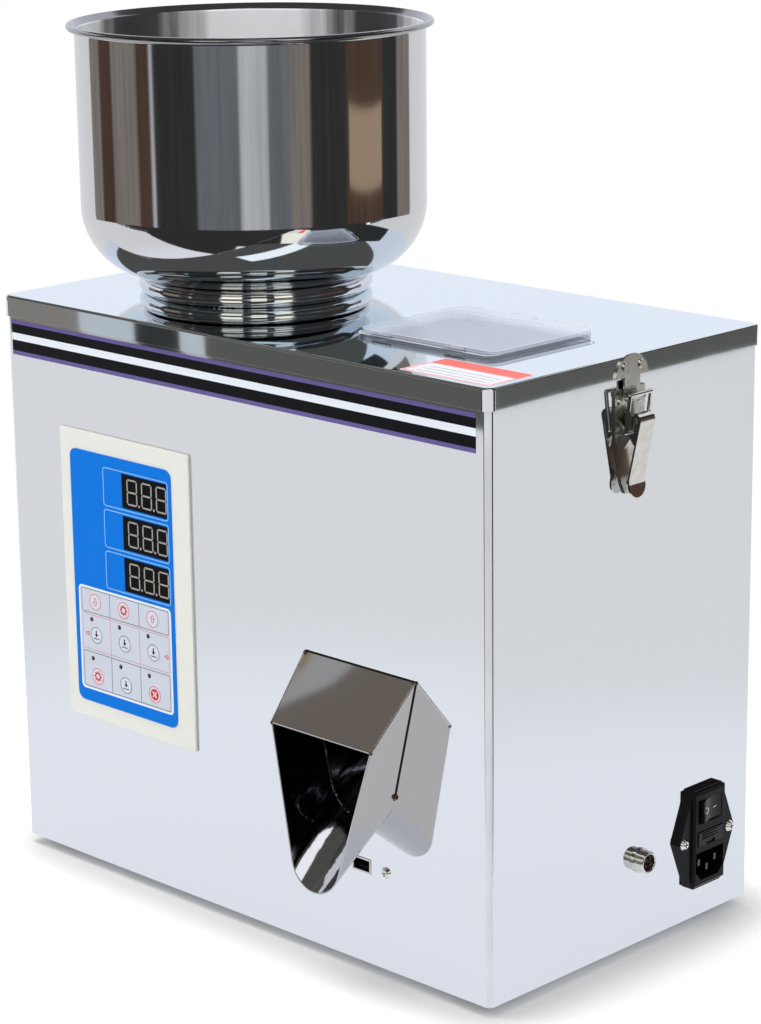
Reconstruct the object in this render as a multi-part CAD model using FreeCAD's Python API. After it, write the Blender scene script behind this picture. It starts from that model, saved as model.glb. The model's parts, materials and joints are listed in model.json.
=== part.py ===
# Bench-top granule filling machine.
# A mirror-finished sheet-steel case stands on four rubber feet. A lift-off lid carries a bowl-shaped
# hopper and a clear inspection window, and two toggle latches hold the lid down. Granules fall from the
# bowl onto a vibrating tray, run into a weigh bucket under the window, and drop through a sloping
# chute to the spout on the front. Millimetres, +Z up, +X to the operator's right, front face towards -Y.
# The origin is on the floor, at the centre of the whole machine's outline.

import FreeCAD, Part
import math
import os

V = FreeCAD.Vector
X_AXIS = V(1, 0, 0)
Y_AXIS = V(0, 1, 0)
Z_AXIS = V(0, 0, 1)

# Clearances
running_gap = 0.07
weld_gap = 0.02
moving_gap = 0.3
rest_gap = 0.2

# Case
case_width = 376.0
case_depth = 214.0
case_height = 330.0
case_sheet = 1.2
case_corner = 3.5
case_rim = 11.0
base_flange = 14.0

# Feet
foot_height = 6.0
foot_radius = 9.5
foot_inset = 24.0
foot_draft = 1.0
foot_screw_radius = 2.0
foot_screw_head = 1.6
foot_screw_reach = 5.0
foot_nut = 3.0

# Lid
lid_sheet = 1.0
lid_flange = 12.0
lid_side_gap = 0.5
lid_bend = 1.4
lid_rear_corner = 2.0

# Hopper bowl
bowl_offset_x = -94.7
bowl_offset_y = 3.4
bowl_height = 154.0
bowl_sheet = 1.0
bowl_shoulder_radius = 99.4
bowl_mouth_radius = 99.8
bowl_rim_radius = 104.5
bowl_shoulder = 41.0
bowl_bead = 1.8
bowl_outlet_radius = 25.0
ring_seat_radius = 65.0
ring_belly_radius = 67.7
ring_top_radius = 64.4
ring_height = 9.6
ring_sheet = 1.0
ring_flange = 9.0
throat_sheet = 1.0
throat_drop = 29.0
throat_lip = 5.0

# Inspection window
window_offset_x = 96.5
window_offset_y = -18.0
window_width = 98.4
window_length = 83.0
window_corner = 6.0
window_border = 7.5
frame_thickness = 2.0
flap_thickness = 1.8
flap_setback = 3.7
hinge_spacing = 53.0
hinge_shift = -7.5
hinge_width = 8.0
hinge_radius = 1.6
hinge_pin_radius = 0.8
hinge_ear = 2.5
tab_width = 16.0
tab_reach = 7.0
tab_shift = -4.5

# Front spout
spout_x = 96.0
spout_sheet = 1.0
spout_top_height = 167.0
spout_top_half = 41.0
spout_bottom_height = 79.0
spout_round = 25.0
mouth_top_height = 135.5
mouth_top_half = 37.3
mouth_bottom_height = 50.0
mouth_round = 18.5
mouth_top_reach = 30.0
mouth_bottom_reach = 36.8
trough_slope = 0.78
trough_rim_drop = 10.0
trough_back = 45.0

# Control panel
bezel_centre_x = -87.8
bezel_centre_height = 174.1
bezel_width = 109.0
bezel_height = 172.0
bezel_thickness = 1.6
bezel_corner = 1.5
bezel_edge = 0.6
bezel_window_margin = 3.0
film_thickness = 0.6
film_width = 85.6
film_height = 150.0
film_corner = 5.0
film_shift_x = -2.6
film_shift_z = -0.3
display_width = 37.8
display_height = 19.9
display_x = -69.9
display_top = 230.7
display_pitch = 24.45
display_count = 3
display_depth = 9.0
display_recess = 0.15
key_radius = 5.75
key_proud = 0.25
key_stem_radius = 2.0
key_travel = 0.5
key_stop_gap = 0.1
key_column_pitch = 24.7
key_column_x = -90.6
key_row_1 = 160.0
key_row_2 = 140.1
key_row_3 = 115.3
switch_size = 6.0
switch_height = 4.0
board_thickness = 1.6
panel_board_margin = 8.0
panel_post_radius = 3.0

# Toggle latches
latch_plate = 1.2
latch_y = 0.3
hook_height = 309.0
base_top_rise = 4.0
base_bottom_drop = 52.5
latch_base_width = 24.0
latch_base_foot_width = 13.0
latch_pivot_out = 9.4
latch_pivot_drop = 12.0
latch_pin_radius = 1.5
latch_eye = 2.4
web_top_drop = 6.5
web_bottom_drop = 17.0
ear_outer = 4.3
lever_half_width = 5.8
lever_tip_drop = 54.0
lever_knee_drop = 44.0
lever_knee_out = 5.2
lever_tip_out = 6.2
lever_tip_radius = 6.5
cheek_tail = 14.0
bail_wire = 1.1
bail_half_width = 8.4
bail_pivot_out = 5.6
bail_pivot_drop = 18.4
bail_bar_rise = 1.5
hook_lip = 1.4
hook_radius = 1.4
hook_half_width = 6.4
keeper_half_width = 13.3
keeper_top_height = 331.0
keeper_shoulder_height = 319.0
keeper_rivet_pitch = 13.0
keeper_rivet_height = 324.6
rivet_radius = 1.6
rivet_head_radius = 2.5
rivet_head_height = 0.9
base_rivet_pitch = 16.0
base_rivet_drop = 3.0
foot_rivet_rise = 6.0

# Mains inlet on the right side
inlet_y = 67.7
inlet_height = 47.5
inlet_half_height = 29.0
inlet_half_width = 24.0
inlet_top_half = 12.5
inlet_flange = 3.5
inlet_block_half_width = 13.8
inlet_block_half_height = 27.6
inlet_block_rise = 2.2
inlet_body_half_width = 13.4
inlet_body_half_height = 23.8
inlet_body_depth = 30.0
inlet_screw_pitch = 40.0
inlet_screw_radius = 1.75
inlet_screw_head = 3.3
inlet_chamfer = 1.2
recess_half_width = 12.0
recess_height = 16.4
recess_corner = 4.5
recess_depth = 17.0
recess_centre = -15.6
contact_width = 2.0
contact_height = 4.0
contact_length = 15.0
contact_pitch = 14.0
contact_rise = 1.4
earth_drop = 2.6
drawer_half_width = 10.5
drawer_height = 8.0
drawer_centre = 0.6
drawer_depth = 22.0
fuse_radius = 2.6
fuse_length = 20.0
rocker_half_width = 9.0
rocker_height = 13.0
rocker_centre = 16.2
rocker_pivot_depth = 4.5
rocker_tilt = 8.0
rocker_pocket = 12.0
rocker_side_gap = 1.1

# Round sensor socket on the right side
socket_y = 13.5
socket_height = 47.7
socket_radius = 6.0
socket_reach = 7.0
socket_bore = 4.7
socket_bore_depth = 8.0
socket_insert_length = 4.5
socket_collar_radius = 7.0
socket_collar = 1.2
socket_tail = 9.0
socket_nut_width = 14.0
socket_nut = 2.0
socket_pin_radius = 0.6
socket_pin_circle = 2.5
socket_pin_proud = 2.5
socket_pin_count = 4

# Square data socket and its screw, under the spout
port_x = 95.4
port_height = 55.6
port_width = 14.0
port_tall = 8.4
port_wall = 1.1
port_depth = 16.0
port_proud = 0.4
port_tongue = 1.8
port_board_width = 44.0
port_board_tall = 30.0
port_screw_x = 113.7
port_screw_radius = 1.5
port_screw_head = 3.4
port_screw_height = 1.8
port_slot = 0.7
port_spacer = 5.0
port_nut = 2.4
port_board_lap = 8.0

# Vibrating feeder
deck_sheet = 1.5
deck_height = 150.0
deck_front = -75.0
deck_right = 36.0
feeder_x = -62.0
feeder_lean = 20.0
feeder_width = 46.0
feeder_length = 96.0
feeder_mount_height = 12.0
feeder_mount_radius = 9.0
feeder_mount_pitch_x = 70.0
feeder_base_thickness = 24.0
spring_sheet = 1.5
spring_overlap = 18.0
bracket_thickness = 16.0
bolt_head_radius = 5.0
bolt_head_height = 3.5
bolt_pitch = 26.0
clamp_bar = 3.0
clamp_bar_width = 12.0
magnet_gap = 2.0
magnet_width = 30.0
magnet_depth = 26.0
magnet_height = 48.0
armature_thickness = 5.0
bracket_wall = 8.0
bracket_roof = 5.0
tray_floor_height = 286.0
tray_sheet = 1.2
tray_half_width = 33.0
tray_wall = 26.0
tray_back = 50.0
tray_lip_x = 70.0

# Weigh bucket, door and drive
bucket_top_height = 280.0
bucket_tall = 54.0
bucket_collar = 14.0
bucket_sheet = 0.8
bucket_top_half = 36.0
bucket_bottom_half_x = 25.0
bucket_bottom_half_y = 22.0
door_sheet = 1.2
door_overlap = 1.0
door_shaft_radius = 1.5
door_axis_back = 26.0
door_axis_drop = 2.4
door_barrel_radius = 3.0
ear_sheet = 1.2
door_ear_gap = 1.0
crank_thickness = 3.0
crank_length = 14.0
crank_half_width = 3.5
drive_disc_radius = 14.0
drive_disc_thickness = 3.0
drive_dog_radius = 1.6
drive_dog_place = 10.0
drive_shaft_radius = 3.5
motor_radius = 25.0
motor_length = 20.0
motor_boss = 6.0
motor_boss_length = 4.0
motor_plate = 1.5
motor_plate_margin = 5.0
motor_foot = 16.0
disc_gap = 1.5

# Load cell
cell_length = 80.0
cell_size = 12.7
cell_hole = 5.0
cell_end = 8.0
hanger_sheet = 2.0
hanger_width = 16.0
cell_bracket_sheet = 3.0
cell_bracket_width = 20.0
cell_screw_radius = 2.0
cell_screw_head = 3.5
cell_screw_head_height = 4.0
cell_bracket_lap = 6.0
cell_bracket_foot = 10.0
cell_slot = 3.0
hanger_lap = 2.0

# Control board
board_width = 120.0
board_depth = 96.0
board_x = -95.0
board_y = 12.0
post_height = 10.0
post_radius = 3.0
transformer = 42.0
capacitor_radius = 8.0
capacitor_height = 26.0
relay_length = 20.0
relay_width = 8.0
relay_height = 12.0
relay_pitch = 11.0
relay_count = 3
transformer_height = 34.0
part_margin = 8.0
capacitor_pitch = 22.0
sink_length = 28.0
sink_plate = 4.0
sink_height = 22.0
fin_sheet = 2.0
fin_pitch = 8.6
fin_count = 4

# Places worked out from the sizes above
lid_out = lid_side_gap + lid_sheet
front_extent = case_depth / 2 + mouth_bottom_reach
back_extent = case_depth / 2 + lid_out
case_y = (front_extent - back_extent) / 2
front_y = case_y - case_depth / 2
back_y = case_y + case_depth / 2
side_x = case_width / 2
base_z = foot_height
lid_top = base_z + case_height
lid_under = lid_top - lid_sheet
case_top = lid_under - rest_gap
bowl_x = bowl_offset_x
bowl_y = case_y + bowl_offset_y
path_y = bowl_y
tray_z = base_z + tray_floor_height
bucket_bottom_height = bucket_top_height - bucket_tall
trough_rim_height = bucket_bottom_height - trough_rim_drop
latch_base_top = hook_height + base_top_rise
latch_base_bottom = hook_height - base_bottom_drop
latch_pivot_height = hook_height - latch_pivot_drop
lever_tip_height = hook_height - lever_tip_drop
lever_knee_height = hook_height - lever_knee_drop
bail_pivot_height = hook_height - bail_pivot_drop
bail_bar_height = hook_height + bail_bar_rise
base_rivet_height = hook_height - base_rivet_drop
base_foot_rivet_height = latch_base_bottom + foot_rivet_rise


def level(height):
    """Height above the floor of a point given above the underside of the case."""
    return base_z + height


def block(x, y, z):
    """Box between the low and high limits given for each axis."""
    return Part.makeBox(x[1] - x[0], y[1] - y[0], z[1] - z[0], V(x[0], y[0], z[0]))


def rod(radius, start, end):
    """Cylinder of the radius between two points."""
    along = end.sub(start)
    return Part.makeCylinder(radius, along.Length, start, along)


def prism(points, direction):
    """Straight prism on a closed outline of straight sides."""
    outline = Part.makePolygon(points + [points[0]])
    return Part.Face(outline).extrude(direction)


def fused(shapes):
    """One solid made of overlapping or touching pieces."""
    whole = shapes[0].multiFuse(shapes[1:])
    return whole.removeSplitter()


def group(shapes):
    """Separate solids that share one node."""
    return Part.Compound(shapes)


def mirrored(shape):
    """Copy of a right-hand piece for the left side of the case."""
    return shape.mirror(V(0, 0, 0), X_AXIS)


def both_sides(shape):
    """The right-hand piece and its mirror image, as separate solids."""
    return group([shape, mirrored(shape)])


def rounded_block(x, y, z, radius):
    """Box with its four upright edges rounded."""
    plain = block(x, y, z)
    upright = [edge for edge in plain.Edges if is_along(edge, Z_AXIS)]
    return plain.makeFillet(radius, upright)


def front_rounded_block(x, y, z, radius, rear_radius=0):
    """Box with the two upright edges at its front rounded, and the rear two where a radius is given."""
    shape = block(x, y, z)
    for side, size in ((y[0], radius), (y[1], rear_radius)):
        if size:
            upright = [edge for edge in shape.Edges if is_along(edge, Z_AXIS)]
            corners = [edge for edge in upright if abs(edge.CenterOfMass.y - side) < 1e-6]
            shape = shape.makeFillet(size, corners)
    return shape


def is_along(edge, axis):
    """Whether a straight edge runs along the axis."""
    run = edge.Vertexes[-1].Point.sub(edge.Vertexes[0].Point)
    return run.Length > 0 and abs(abs(run.dot(axis)) - run.Length) < 1e-6


def front_plate(centre_x, centre_z, width, height, y, radius):
    """Upright plate facing the front, with its four corners rounded."""
    plain = block(
        (centre_x - width / 2, centre_x + width / 2), y, (centre_z - height / 2, centre_z + height / 2)
    )
    corners = [edge for edge in plain.Edges if is_along(edge, Y_AXIS)]
    return plain.makeFillet(radius, corners)


def side_prism(points, start, thickness):
    """Prism on an outline of (x, z) points, running along Y from the start."""
    return prism([V(x, start, z) for x, z in points], V(0, thickness, 0))


def face_prism(points, start, thickness):
    """Prism on an outline of (y, z) points, running along X from the start."""
    return prism([V(start, y, z) for y, z in points], V(thickness, 0, 0))


def turned(points, centre_x, centre_y, arcs=()):
    """Ring or bowl turned about an upright axis, from a closed outline of (radius, z) points.

    Each arc is (index, point): the side that starts at that outline point passes through the point.
    """
    bends = dict(arcs)
    edges = []
    for index, (radius, z) in enumerate(points):
        start = V(radius, 0, z)
        after = points[(index + 1) % len(points)]
        end = V(after[0], 0, after[1])
        if index in bends:
            middle = V(bends[index][0], 0, bends[index][1])
            edges.append(Part.Arc(start, middle, end).toShape())
        else:
            edges.append(Part.LineSegment(start, end).toShape())
    solid = Part.Face(Part.Wire(edges)).revolve(V(0, 0, 0), Z_AXIS, 360)
    solid.translate(V(centre_x, centre_y, 0))
    return solid


def on_arc(centre, radius, angle):
    """Point of a circle in the plane of a turned outline."""
    turn = math.radians(angle)
    return (centre[0] + radius * math.cos(turn), centre[1] + radius * math.sin(turn))


# Case


def make_case_shell():
    """Front and both sides of the case, bent from one sheet, with an inward rim along the top."""
    x_out = (-side_x, side_x)
    y_out = (front_y, back_y)
    outer = front_rounded_block(x_out, y_out, (base_z, case_top), case_corner)
    inner = front_rounded_block(
        (-side_x + case_sheet, side_x - case_sheet),
        (front_y + case_sheet, back_y + case_sheet),
        (base_z - case_sheet, case_top - case_sheet),
        case_corner - case_sheet,
    )
    top_opening = block(
        (-side_x + case_rim, side_x - case_rim),
        (front_y + case_rim, back_y + case_sheet),
        (case_top - 2 * case_sheet, case_top + case_sheet),
    )
    x_in = side_x - case_sheet
    back_seat = block((-x_in, x_in), (back_y - case_sheet, back_y + 1), (case_top - case_rim, lid_top))
    shell = outer.cut(inner).cut(top_opening).cut(back_seat)
    cutters = [
        bezel_opening((front_y - case_sheet, front_y + 2 * case_sheet)),
        spout_hole(),
        port_hole(),
        inlet_hole(),
        socket_hole(),
    ]
    cutters += inlet_screw_rods(inlet_screw_radius + weld_gap, -2 * case_sheet, case_sheet)
    for rivet in base_rivet_rods(rivet_radius + weld_gap, -2 * case_sheet, case_sheet):
        cutters += [rivet, mirrored(rivet)]
    for cutter in cutters:
        shell = shell.cut(cutter)
    return shell.removeSplitter()


def make_back_panel():
    """Plain back, with flanges forward along its sides and top."""
    x_in = side_x - case_sheet
    plate = block((-x_in, x_in), (back_y - case_sheet, back_y), (base_z, case_top))
    x_top = side_x - case_rim
    top = block((-x_top, x_top), (back_y - case_rim, back_y), (case_top - case_sheet, case_top))
    flanges = []
    for sign in (-1, 1):
        inner, outer = sorted((sign * (x_in - case_sheet), sign * x_in))
        flange_y = (back_y - case_rim, back_y)
        flanges.append(block((inner, outer), flange_y, (base_z, case_top - case_sheet)))
    return fused([plate, top] + flanges)


def make_base_plate():
    """Floor of the case: a shallow pan whose flanges stand inside the shell."""
    x_in = side_x - case_sheet
    y_in = (front_y + case_sheet, back_y - case_sheet)
    corner = case_corner - case_sheet
    pan = front_rounded_block((-x_in, x_in), y_in, (base_z, base_z + base_flange), corner)
    hollow = block(
        (-x_in + case_sheet, x_in - case_sheet),
        (y_in[0] + case_sheet, y_in[1] - case_sheet),
        (base_z + case_sheet, base_z + 2 * base_flange),
    )
    pan = pan.cut(hollow)
    for sign in (-1, 1):
        inner, outer = sorted((sign * (x_in - case_sheet), sign * x_in))
        notch = block(
            (inner - weld_gap, outer + weld_gap),
            (back_y - case_rim - weld_gap, back_y),
            (base_z - case_sheet, base_z + 2 * base_flange),
        )
        pan = pan.cut(notch)
    for x, y in foot_places():
        pan = pan.cut(rod(foot_screw_radius + weld_gap, V(x, y, 0), V(x, y, base_z + base_flange)))
    return pan


def foot_places():
    """Centres of the four feet."""
    places = []
    for sign in (-1, 1):
        x = sign * (side_x - foot_inset)
        places += [(x, front_y + foot_inset), (x, back_y - foot_inset)]
    return places


def make_feet():
    """Four tapered rubber feet with recessed screw holes."""
    feet = []
    for x, y in foot_places():
        narrow = foot_radius - foot_draft
        foot = Part.makeCone(narrow, foot_radius, foot_height, V(x, y, 0), Z_AXIS)
        foot = foot.cut(rod(foot_screw_radius * 2.4, V(x, y, -1), V(x, y, foot_height / 2)))
        foot = foot.cut(rod(foot_screw_radius + weld_gap, V(x, y, -1), V(x, y, foot_height + 1)))
        feet.append(foot)
    return group(feet)


def make_foot_screws():
    """Four screws, each with its nut inside the base."""
    screws = []
    for x, y in foot_places():
        seat = foot_height / 2
        nut_low = base_z + case_sheet
        head = rod(foot_screw_radius * 2, V(x, y, seat - foot_screw_head), V(x, y, seat))
        shank = rod(foot_screw_radius, V(x, y, seat), V(x, y, nut_low + foot_screw_reach))
        nut = rod(foot_screw_radius * 1.9, V(x, y, nut_low), V(x, y, nut_low + foot_nut))
        screws.append(fused([head, shank, nut]))
    return group(screws)


# Lid and hopper


def make_lid_pan():
    """Shallow lid that fits over the case, with openings for the hopper throat and the window."""
    x_out = side_x + lid_out
    y_out = (front_y - lid_out, back_y + lid_out)
    outer = front_rounded_block(
        (-x_out, x_out), y_out, (lid_top - lid_flange, lid_top), case_corner + lid_out, lid_rear_corner
    )
    brim = [edge for edge in outer.Edges if abs(edge.BoundBox.ZMin - lid_top) < 1e-6]
    outer = outer.makeFillet(lid_bend, brim)
    inner = front_rounded_block(
        (-x_out + lid_sheet, x_out - lid_sheet),
        (y_out[0] + lid_sheet, y_out[1] - lid_sheet),
        (lid_top - 2 * lid_flange, lid_under),
        case_corner + lid_side_gap,
        lid_rear_corner - lid_sheet,
    )
    lid = outer.cut(inner)
    low, high = V(bowl_x, bowl_y, lid_under - 1), V(bowl_x, bowl_y, lid_top + 1)
    lid = lid.cut(rod(bowl_outlet_radius + moving_gap, low, high))
    lid = lid.cut(window_hole((lid_under - 1, lid_top + 1)))
    for rivet in keeper_rivet_rods(rivet_radius + weld_gap, -lid_sheet * 2, 2 * lid_sheet):
        lid = lid.cut(rivet).cut(mirrored(rivet))
    return lid


def make_hopper_bowl():
    """Deep spun bowl with a rolled rim, a rounded shoulder and an outlet in its flat bottom."""
    bottom = lid_top + ring_height
    rim = lid_top + bowl_height
    centre = (bowl_shoulder_radius - bowl_shoulder, bottom + bowl_shoulder)
    inside = bowl_shoulder - bowl_sheet
    neck = rim - 2 * bowl_bead
    wall_in = bowl_mouth_radius - bowl_sheet
    bead = (bowl_rim_radius - bowl_bead, rim - bowl_bead)
    curl = bowl_bead - bowl_sheet
    lip = bowl_bead * 0.9
    outline = [
        (bowl_outlet_radius, bottom),
        (centre[0], bottom),
        (bowl_shoulder_radius, centre[1]),
        (bowl_mouth_radius, neck),
        (bowl_mouth_radius + lip - bowl_sheet, rim - bowl_sheet),
        (bead[0], rim - bowl_sheet),
        (bead[0], bead[1] - curl),
        (bead[0], bead[1] - bowl_bead),
        (bead[0], rim),
        (wall_in + lip, rim),
        (wall_in, neck),
        (centre[0] + inside, centre[1]),
        (centre[0], bottom + bowl_sheet),
        (bowl_outlet_radius, bottom + bowl_sheet),
    ]
    low_turn = (bowl_mouth_radius + (lip - bowl_sheet) * 0.3, rim - bowl_sheet - (2 * bowl_bead) * 0.24)
    high_turn = (wall_in + lip * 0.3, rim - (2 * bowl_bead) * 0.24)
    arcs = [
        (1, on_arc(centre, bowl_shoulder, -45)),
        (3, low_turn),
        (5, on_arc(bead, curl, 0)),
        (7, on_arc(bead, bowl_bead, 0)),
        (9, high_turn),
        (11, on_arc(centre, inside, -45)),
    ]
    return turned(outline, bowl_x, bowl_y, arcs)


def make_bowl_ring():
    """Rolled foot ring between the bowl and the lid."""
    top = lid_top + ring_height
    mid = lid_top + ring_height * 0.52
    outline = [
        (ring_seat_radius - ring_sheet, lid_top),
        (ring_seat_radius, lid_top),
        (ring_top_radius, top),
        (ring_top_radius - ring_flange, top),
        (ring_top_radius - ring_flange, top - ring_sheet),
        (ring_top_radius - ring_sheet, top - ring_sheet),
    ]
    arcs = [(1, (ring_belly_radius, mid)), (5, (ring_belly_radius - ring_sheet, mid - ring_sheet / 2))]
    return turned(outline, bowl_x, bowl_y, arcs)


def make_hopper_throat():
    """Short spout through the lid, hung by its lip in the bowl's outlet."""
    seat = lid_top + ring_height + bowl_sheet
    low = lid_under - throat_drop
    outer = bowl_outlet_radius - weld_gap
    inner = outer - throat_sheet
    outline = [
        (inner, low),
        (outer, low),
        (outer, seat),
        (outer + throat_lip, seat),
        (outer + throat_lip, seat + throat_sheet),
        (inner, seat + throat_sheet),
    ]
    return turned(outline, bowl_x, bowl_y)


# Inspection window


def window_limits():
    """Left, right, front and rear edges of the window frame."""
    x = window_offset_x
    y = case_y + window_offset_y
    return x - window_width / 2, x + window_width / 2, y - window_length / 2, y + window_length / 2


def window_hole(z):
    """Cutter for the opening under the window."""
    left, right, front, rear = window_limits()
    border = window_border
    return rounded_block((left + border, right - border), (front + border, rear - border), z, window_corner)


def hinge_places():
    """Centres along X of the two window hinges."""
    middle = window_offset_x + hinge_shift
    return [middle - hinge_spacing / 2 + hinge_width / 2, middle + hinge_spacing / 2 + hinge_width / 2]


def hinge_axis():
    """Y and Z of the window's hinge line."""
    front = window_limits()[2]
    return front + hinge_radius + rest_gap, lid_top + frame_thickness


def make_window_frame():
    """Clear frame on the lid, notched for the flap's hinges, with a round ear at each side of a notch."""
    left, right, front, rear = window_limits()
    z = (lid_top, lid_top + frame_thickness)
    frame = rounded_block((left, right), (front, rear), z, window_corner)
    frame = frame.cut(window_hole((lid_top - 1, lid_top + frame_thickness + 1)))
    axis_y, axis_z = hinge_axis()
    depth = 2 * hinge_radius + 2 * rest_gap
    for x in hinge_places():
        half = hinge_width / 2 + moving_gap
        for sign in (-1, 1):
            low, high = sorted((x + sign * half, x + sign * (half + hinge_ear)))
            span_y = (axis_y - hinge_radius, axis_y + hinge_radius)
            frame = frame.fuse(block((low, high), span_y, (lid_top, axis_z)))
            frame = frame.fuse(rod(hinge_radius, V(low, axis_y, axis_z), V(high, axis_y, axis_z)))
        notch = block((x - half, x + half), (front - 1, front + depth), (lid_top - 1, lid_top + 9))
        frame = frame.cut(notch)
        bore_low = V(x - half - hinge_ear - 1, axis_y, axis_z)
        bore_high = V(x + half + hinge_ear + 1, axis_y, axis_z)
        frame = frame.cut(rod(hinge_pin_radius + weld_gap, bore_low, bore_high))
    return frame.removeSplitter()


def make_window_pins():
    """Two hinge pins held in the frame's ears."""
    axis_y, axis_z = hinge_axis()
    reach = hinge_width / 2 + moving_gap + hinge_ear
    pins = []
    for x in hinge_places():
        pins.append(rod(hinge_pin_radius, V(x - reach, axis_y, axis_z), V(x + reach, axis_y, axis_z)))
    return group(pins)


def make_window_flap():
    """Clear flap that swings up about its front edge, with a finger tab at the rear."""
    left, right, front, rear = window_limits()
    low = lid_top + frame_thickness + rest_gap
    z = (low, low + flap_thickness)
    flap = rounded_block((left, right), (front + flap_setback, rear), z, window_corner)
    tab_x = window_offset_x + tab_shift
    tab = rounded_block(
        (tab_x - tab_width / 2, tab_x + tab_width / 2),
        (rear - tab_reach, rear + tab_reach),
        z,
        flap_thickness,
    )
    axis_y, axis_z = hinge_axis()
    pieces = [flap, tab]
    for x in hinge_places():
        half = hinge_width / 2
        pieces.append(rod(hinge_radius, V(x - half, axis_y, axis_z), V(x + half, axis_y, axis_z)))
        pieces.append(block((x - half, x + half), (axis_y, front + flap_setback + 2 * flap_thickness), z))
    flap = fused(pieces)
    for x in hinge_places():
        half = hinge_width / 2 + 1
        bore = rod(hinge_pin_radius + running_gap, V(x - half, axis_y, axis_z), V(x + half, axis_y, axis_z))
        flap = flap.cut(bore)
    return flap


# Spout and inner trough


def trough_side(half_top, height, radius):
    """Angle at which the side line from (half_top, height) touches a circle at the origin."""
    reach = math.hypot(half_top, height)
    return math.atan2(height, half_top) - math.acos(radius / reach)


def trough_wire(half_top, top, bottom, radius, inset, place):
    """Closed outline of a trough: flat top, straight sides and a half-round bottom.

    The inset moves the sides and the top inwards by the sheet. place turns (x, z) into a 3-D point.
    """
    centre = bottom + radius
    angle = trough_side(half_top, top - centre, radius)
    inner = radius - inset
    tangent = (inner * math.cos(angle), centre + inner * math.sin(angle))
    ceiling = top - inset
    half = (inner - (ceiling - centre) * math.sin(angle)) / math.cos(angle)
    right_top = place(half, ceiling)
    left_top = place(-half, ceiling)
    right_low = place(tangent[0], tangent[1])
    left_low = place(-tangent[0], tangent[1])
    lowest = place(0, centre - inner)
    edges = [
        Part.LineSegment(left_top, right_top).toShape(),
        Part.LineSegment(right_top, right_low).toShape(),
        Part.Arc(right_low, lowest, left_low).toShape(),
        Part.LineSegment(left_low, left_top).toShape(),
    ]
    return Part.Wire(edges)


def at_panel(x, z):
    """Point on the front face of the case, in the spout's own width."""
    return V(spout_x + x, front_y, z)


def at_mouth(x, z):
    """Point on the spout's open end, which leans slightly outwards."""
    rise = (level(mouth_top_height) - z) / (mouth_top_height - mouth_bottom_height)
    reach = mouth_top_reach + rise * (mouth_bottom_reach - mouth_top_reach)
    return V(spout_x + x, front_y - reach, z)


def spout_loft(inset):
    """Space inside the spout's outer faces, moved in by the inset."""
    near = trough_wire(
        spout_top_half, level(spout_top_height), level(spout_bottom_height), spout_round, inset, at_panel
    )
    far = trough_wire(
        mouth_top_half, level(mouth_top_height), level(mouth_bottom_height), mouth_round, inset, at_mouth
    )
    return Part.makeLoft([near, far], True, True)


def spout_hole():
    """Cutter for the opening in the front panel behind the spout."""
    top = level(spout_top_height)
    bottom = level(spout_bottom_height)
    near = trough_wire(spout_top_half, top, bottom, spout_round, spout_sheet, at_panel)
    hole = Part.Face(near).extrude(V(0, 4 * case_sheet, 0))
    hole.translate(V(0, -case_sheet, 0))
    return hole


def make_spout():
    """Folded and welded spout: sloping roof, converging sides and a half-round trough to the mouth."""
    return spout_loft(0).cut(spout_loft(spout_sheet))


def make_inner_trough():
    """Open trough inside the case that carries on the spout's slope to under the weigh bucket."""
    start = front_y + case_sheet
    back = path_y + trough_back
    run = back - start
    tall = level(spout_top_height) + trough_slope * run
    grow = (spout_top_half - spout_round) / (spout_top_height - spout_bottom_height - spout_round)
    half_top = spout_top_half + grow * trough_slope * run

    def place(x, z):
        return V(spout_x + x, start, z)

    bottom = level(spout_bottom_height)
    outer = Part.Face(trough_wire(half_top, tall, bottom, spout_round, 0, place))
    hollow = Part.Face(trough_wire(half_top, tall, bottom, spout_round, spout_sheet, place))
    along = V(0, run, run * trough_slope)
    solid = outer.extrude(along)
    rim = level(trough_rim_height)
    wide = (spout_x - 2 * half_top, spout_x + 2 * half_top)
    keep = block(wide, (start, back), (base_z, rim))
    room = block(wide, (start - 1, back - spout_sheet), (base_z, rim + 1))
    space = hollow.extrude(along).common(room)
    return solid.common(keep).cut(space)


# Control panel


def bezel_opening(y):
    """Cutter behind the control panel, smaller than the printed film all round."""
    margin = bezel_window_margin
    x = bezel_centre_x + film_shift_x
    z = level(bezel_centre_height + film_shift_z)
    width = film_width / 2 - margin
    height = film_height / 2 - margin
    return block((x - width, x + width), y, (z - height, z + height))


def make_panel_bezel():
    """Moulded frame of the control panel, bonded to the case round the opening behind it."""
    bezel = front_plate(
        bezel_centre_x,
        level(bezel_centre_height),
        bezel_width,
        bezel_height,
        (front_y - bezel_thickness, front_y),
        bezel_corner,
    )
    front = [edge for edge in bezel.Edges if edge.BoundBox.YMax < front_y - bezel_thickness + 1e-6]
    bezel = bezel.makeFillet(bezel_edge, front)
    return bezel.cut(bezel_opening((front_y - 2 * bezel_thickness, front_y + 1)))


def film_front():
    """Y of the printed film's face."""
    return front_y - bezel_thickness - film_thickness


def display_places():
    """Centres of the three display windows."""
    return [(display_x, level(display_top - row * display_pitch)) for row in range(display_count)]


def key_places():
    """Centres of the nine keys, row by row from the top left."""
    places = []
    for height in (key_row_1, key_row_2, key_row_3):
        for column in (-1, 0, 1):
            places.append((key_column_x + column * key_column_pitch, level(height)))
    return places


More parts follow.
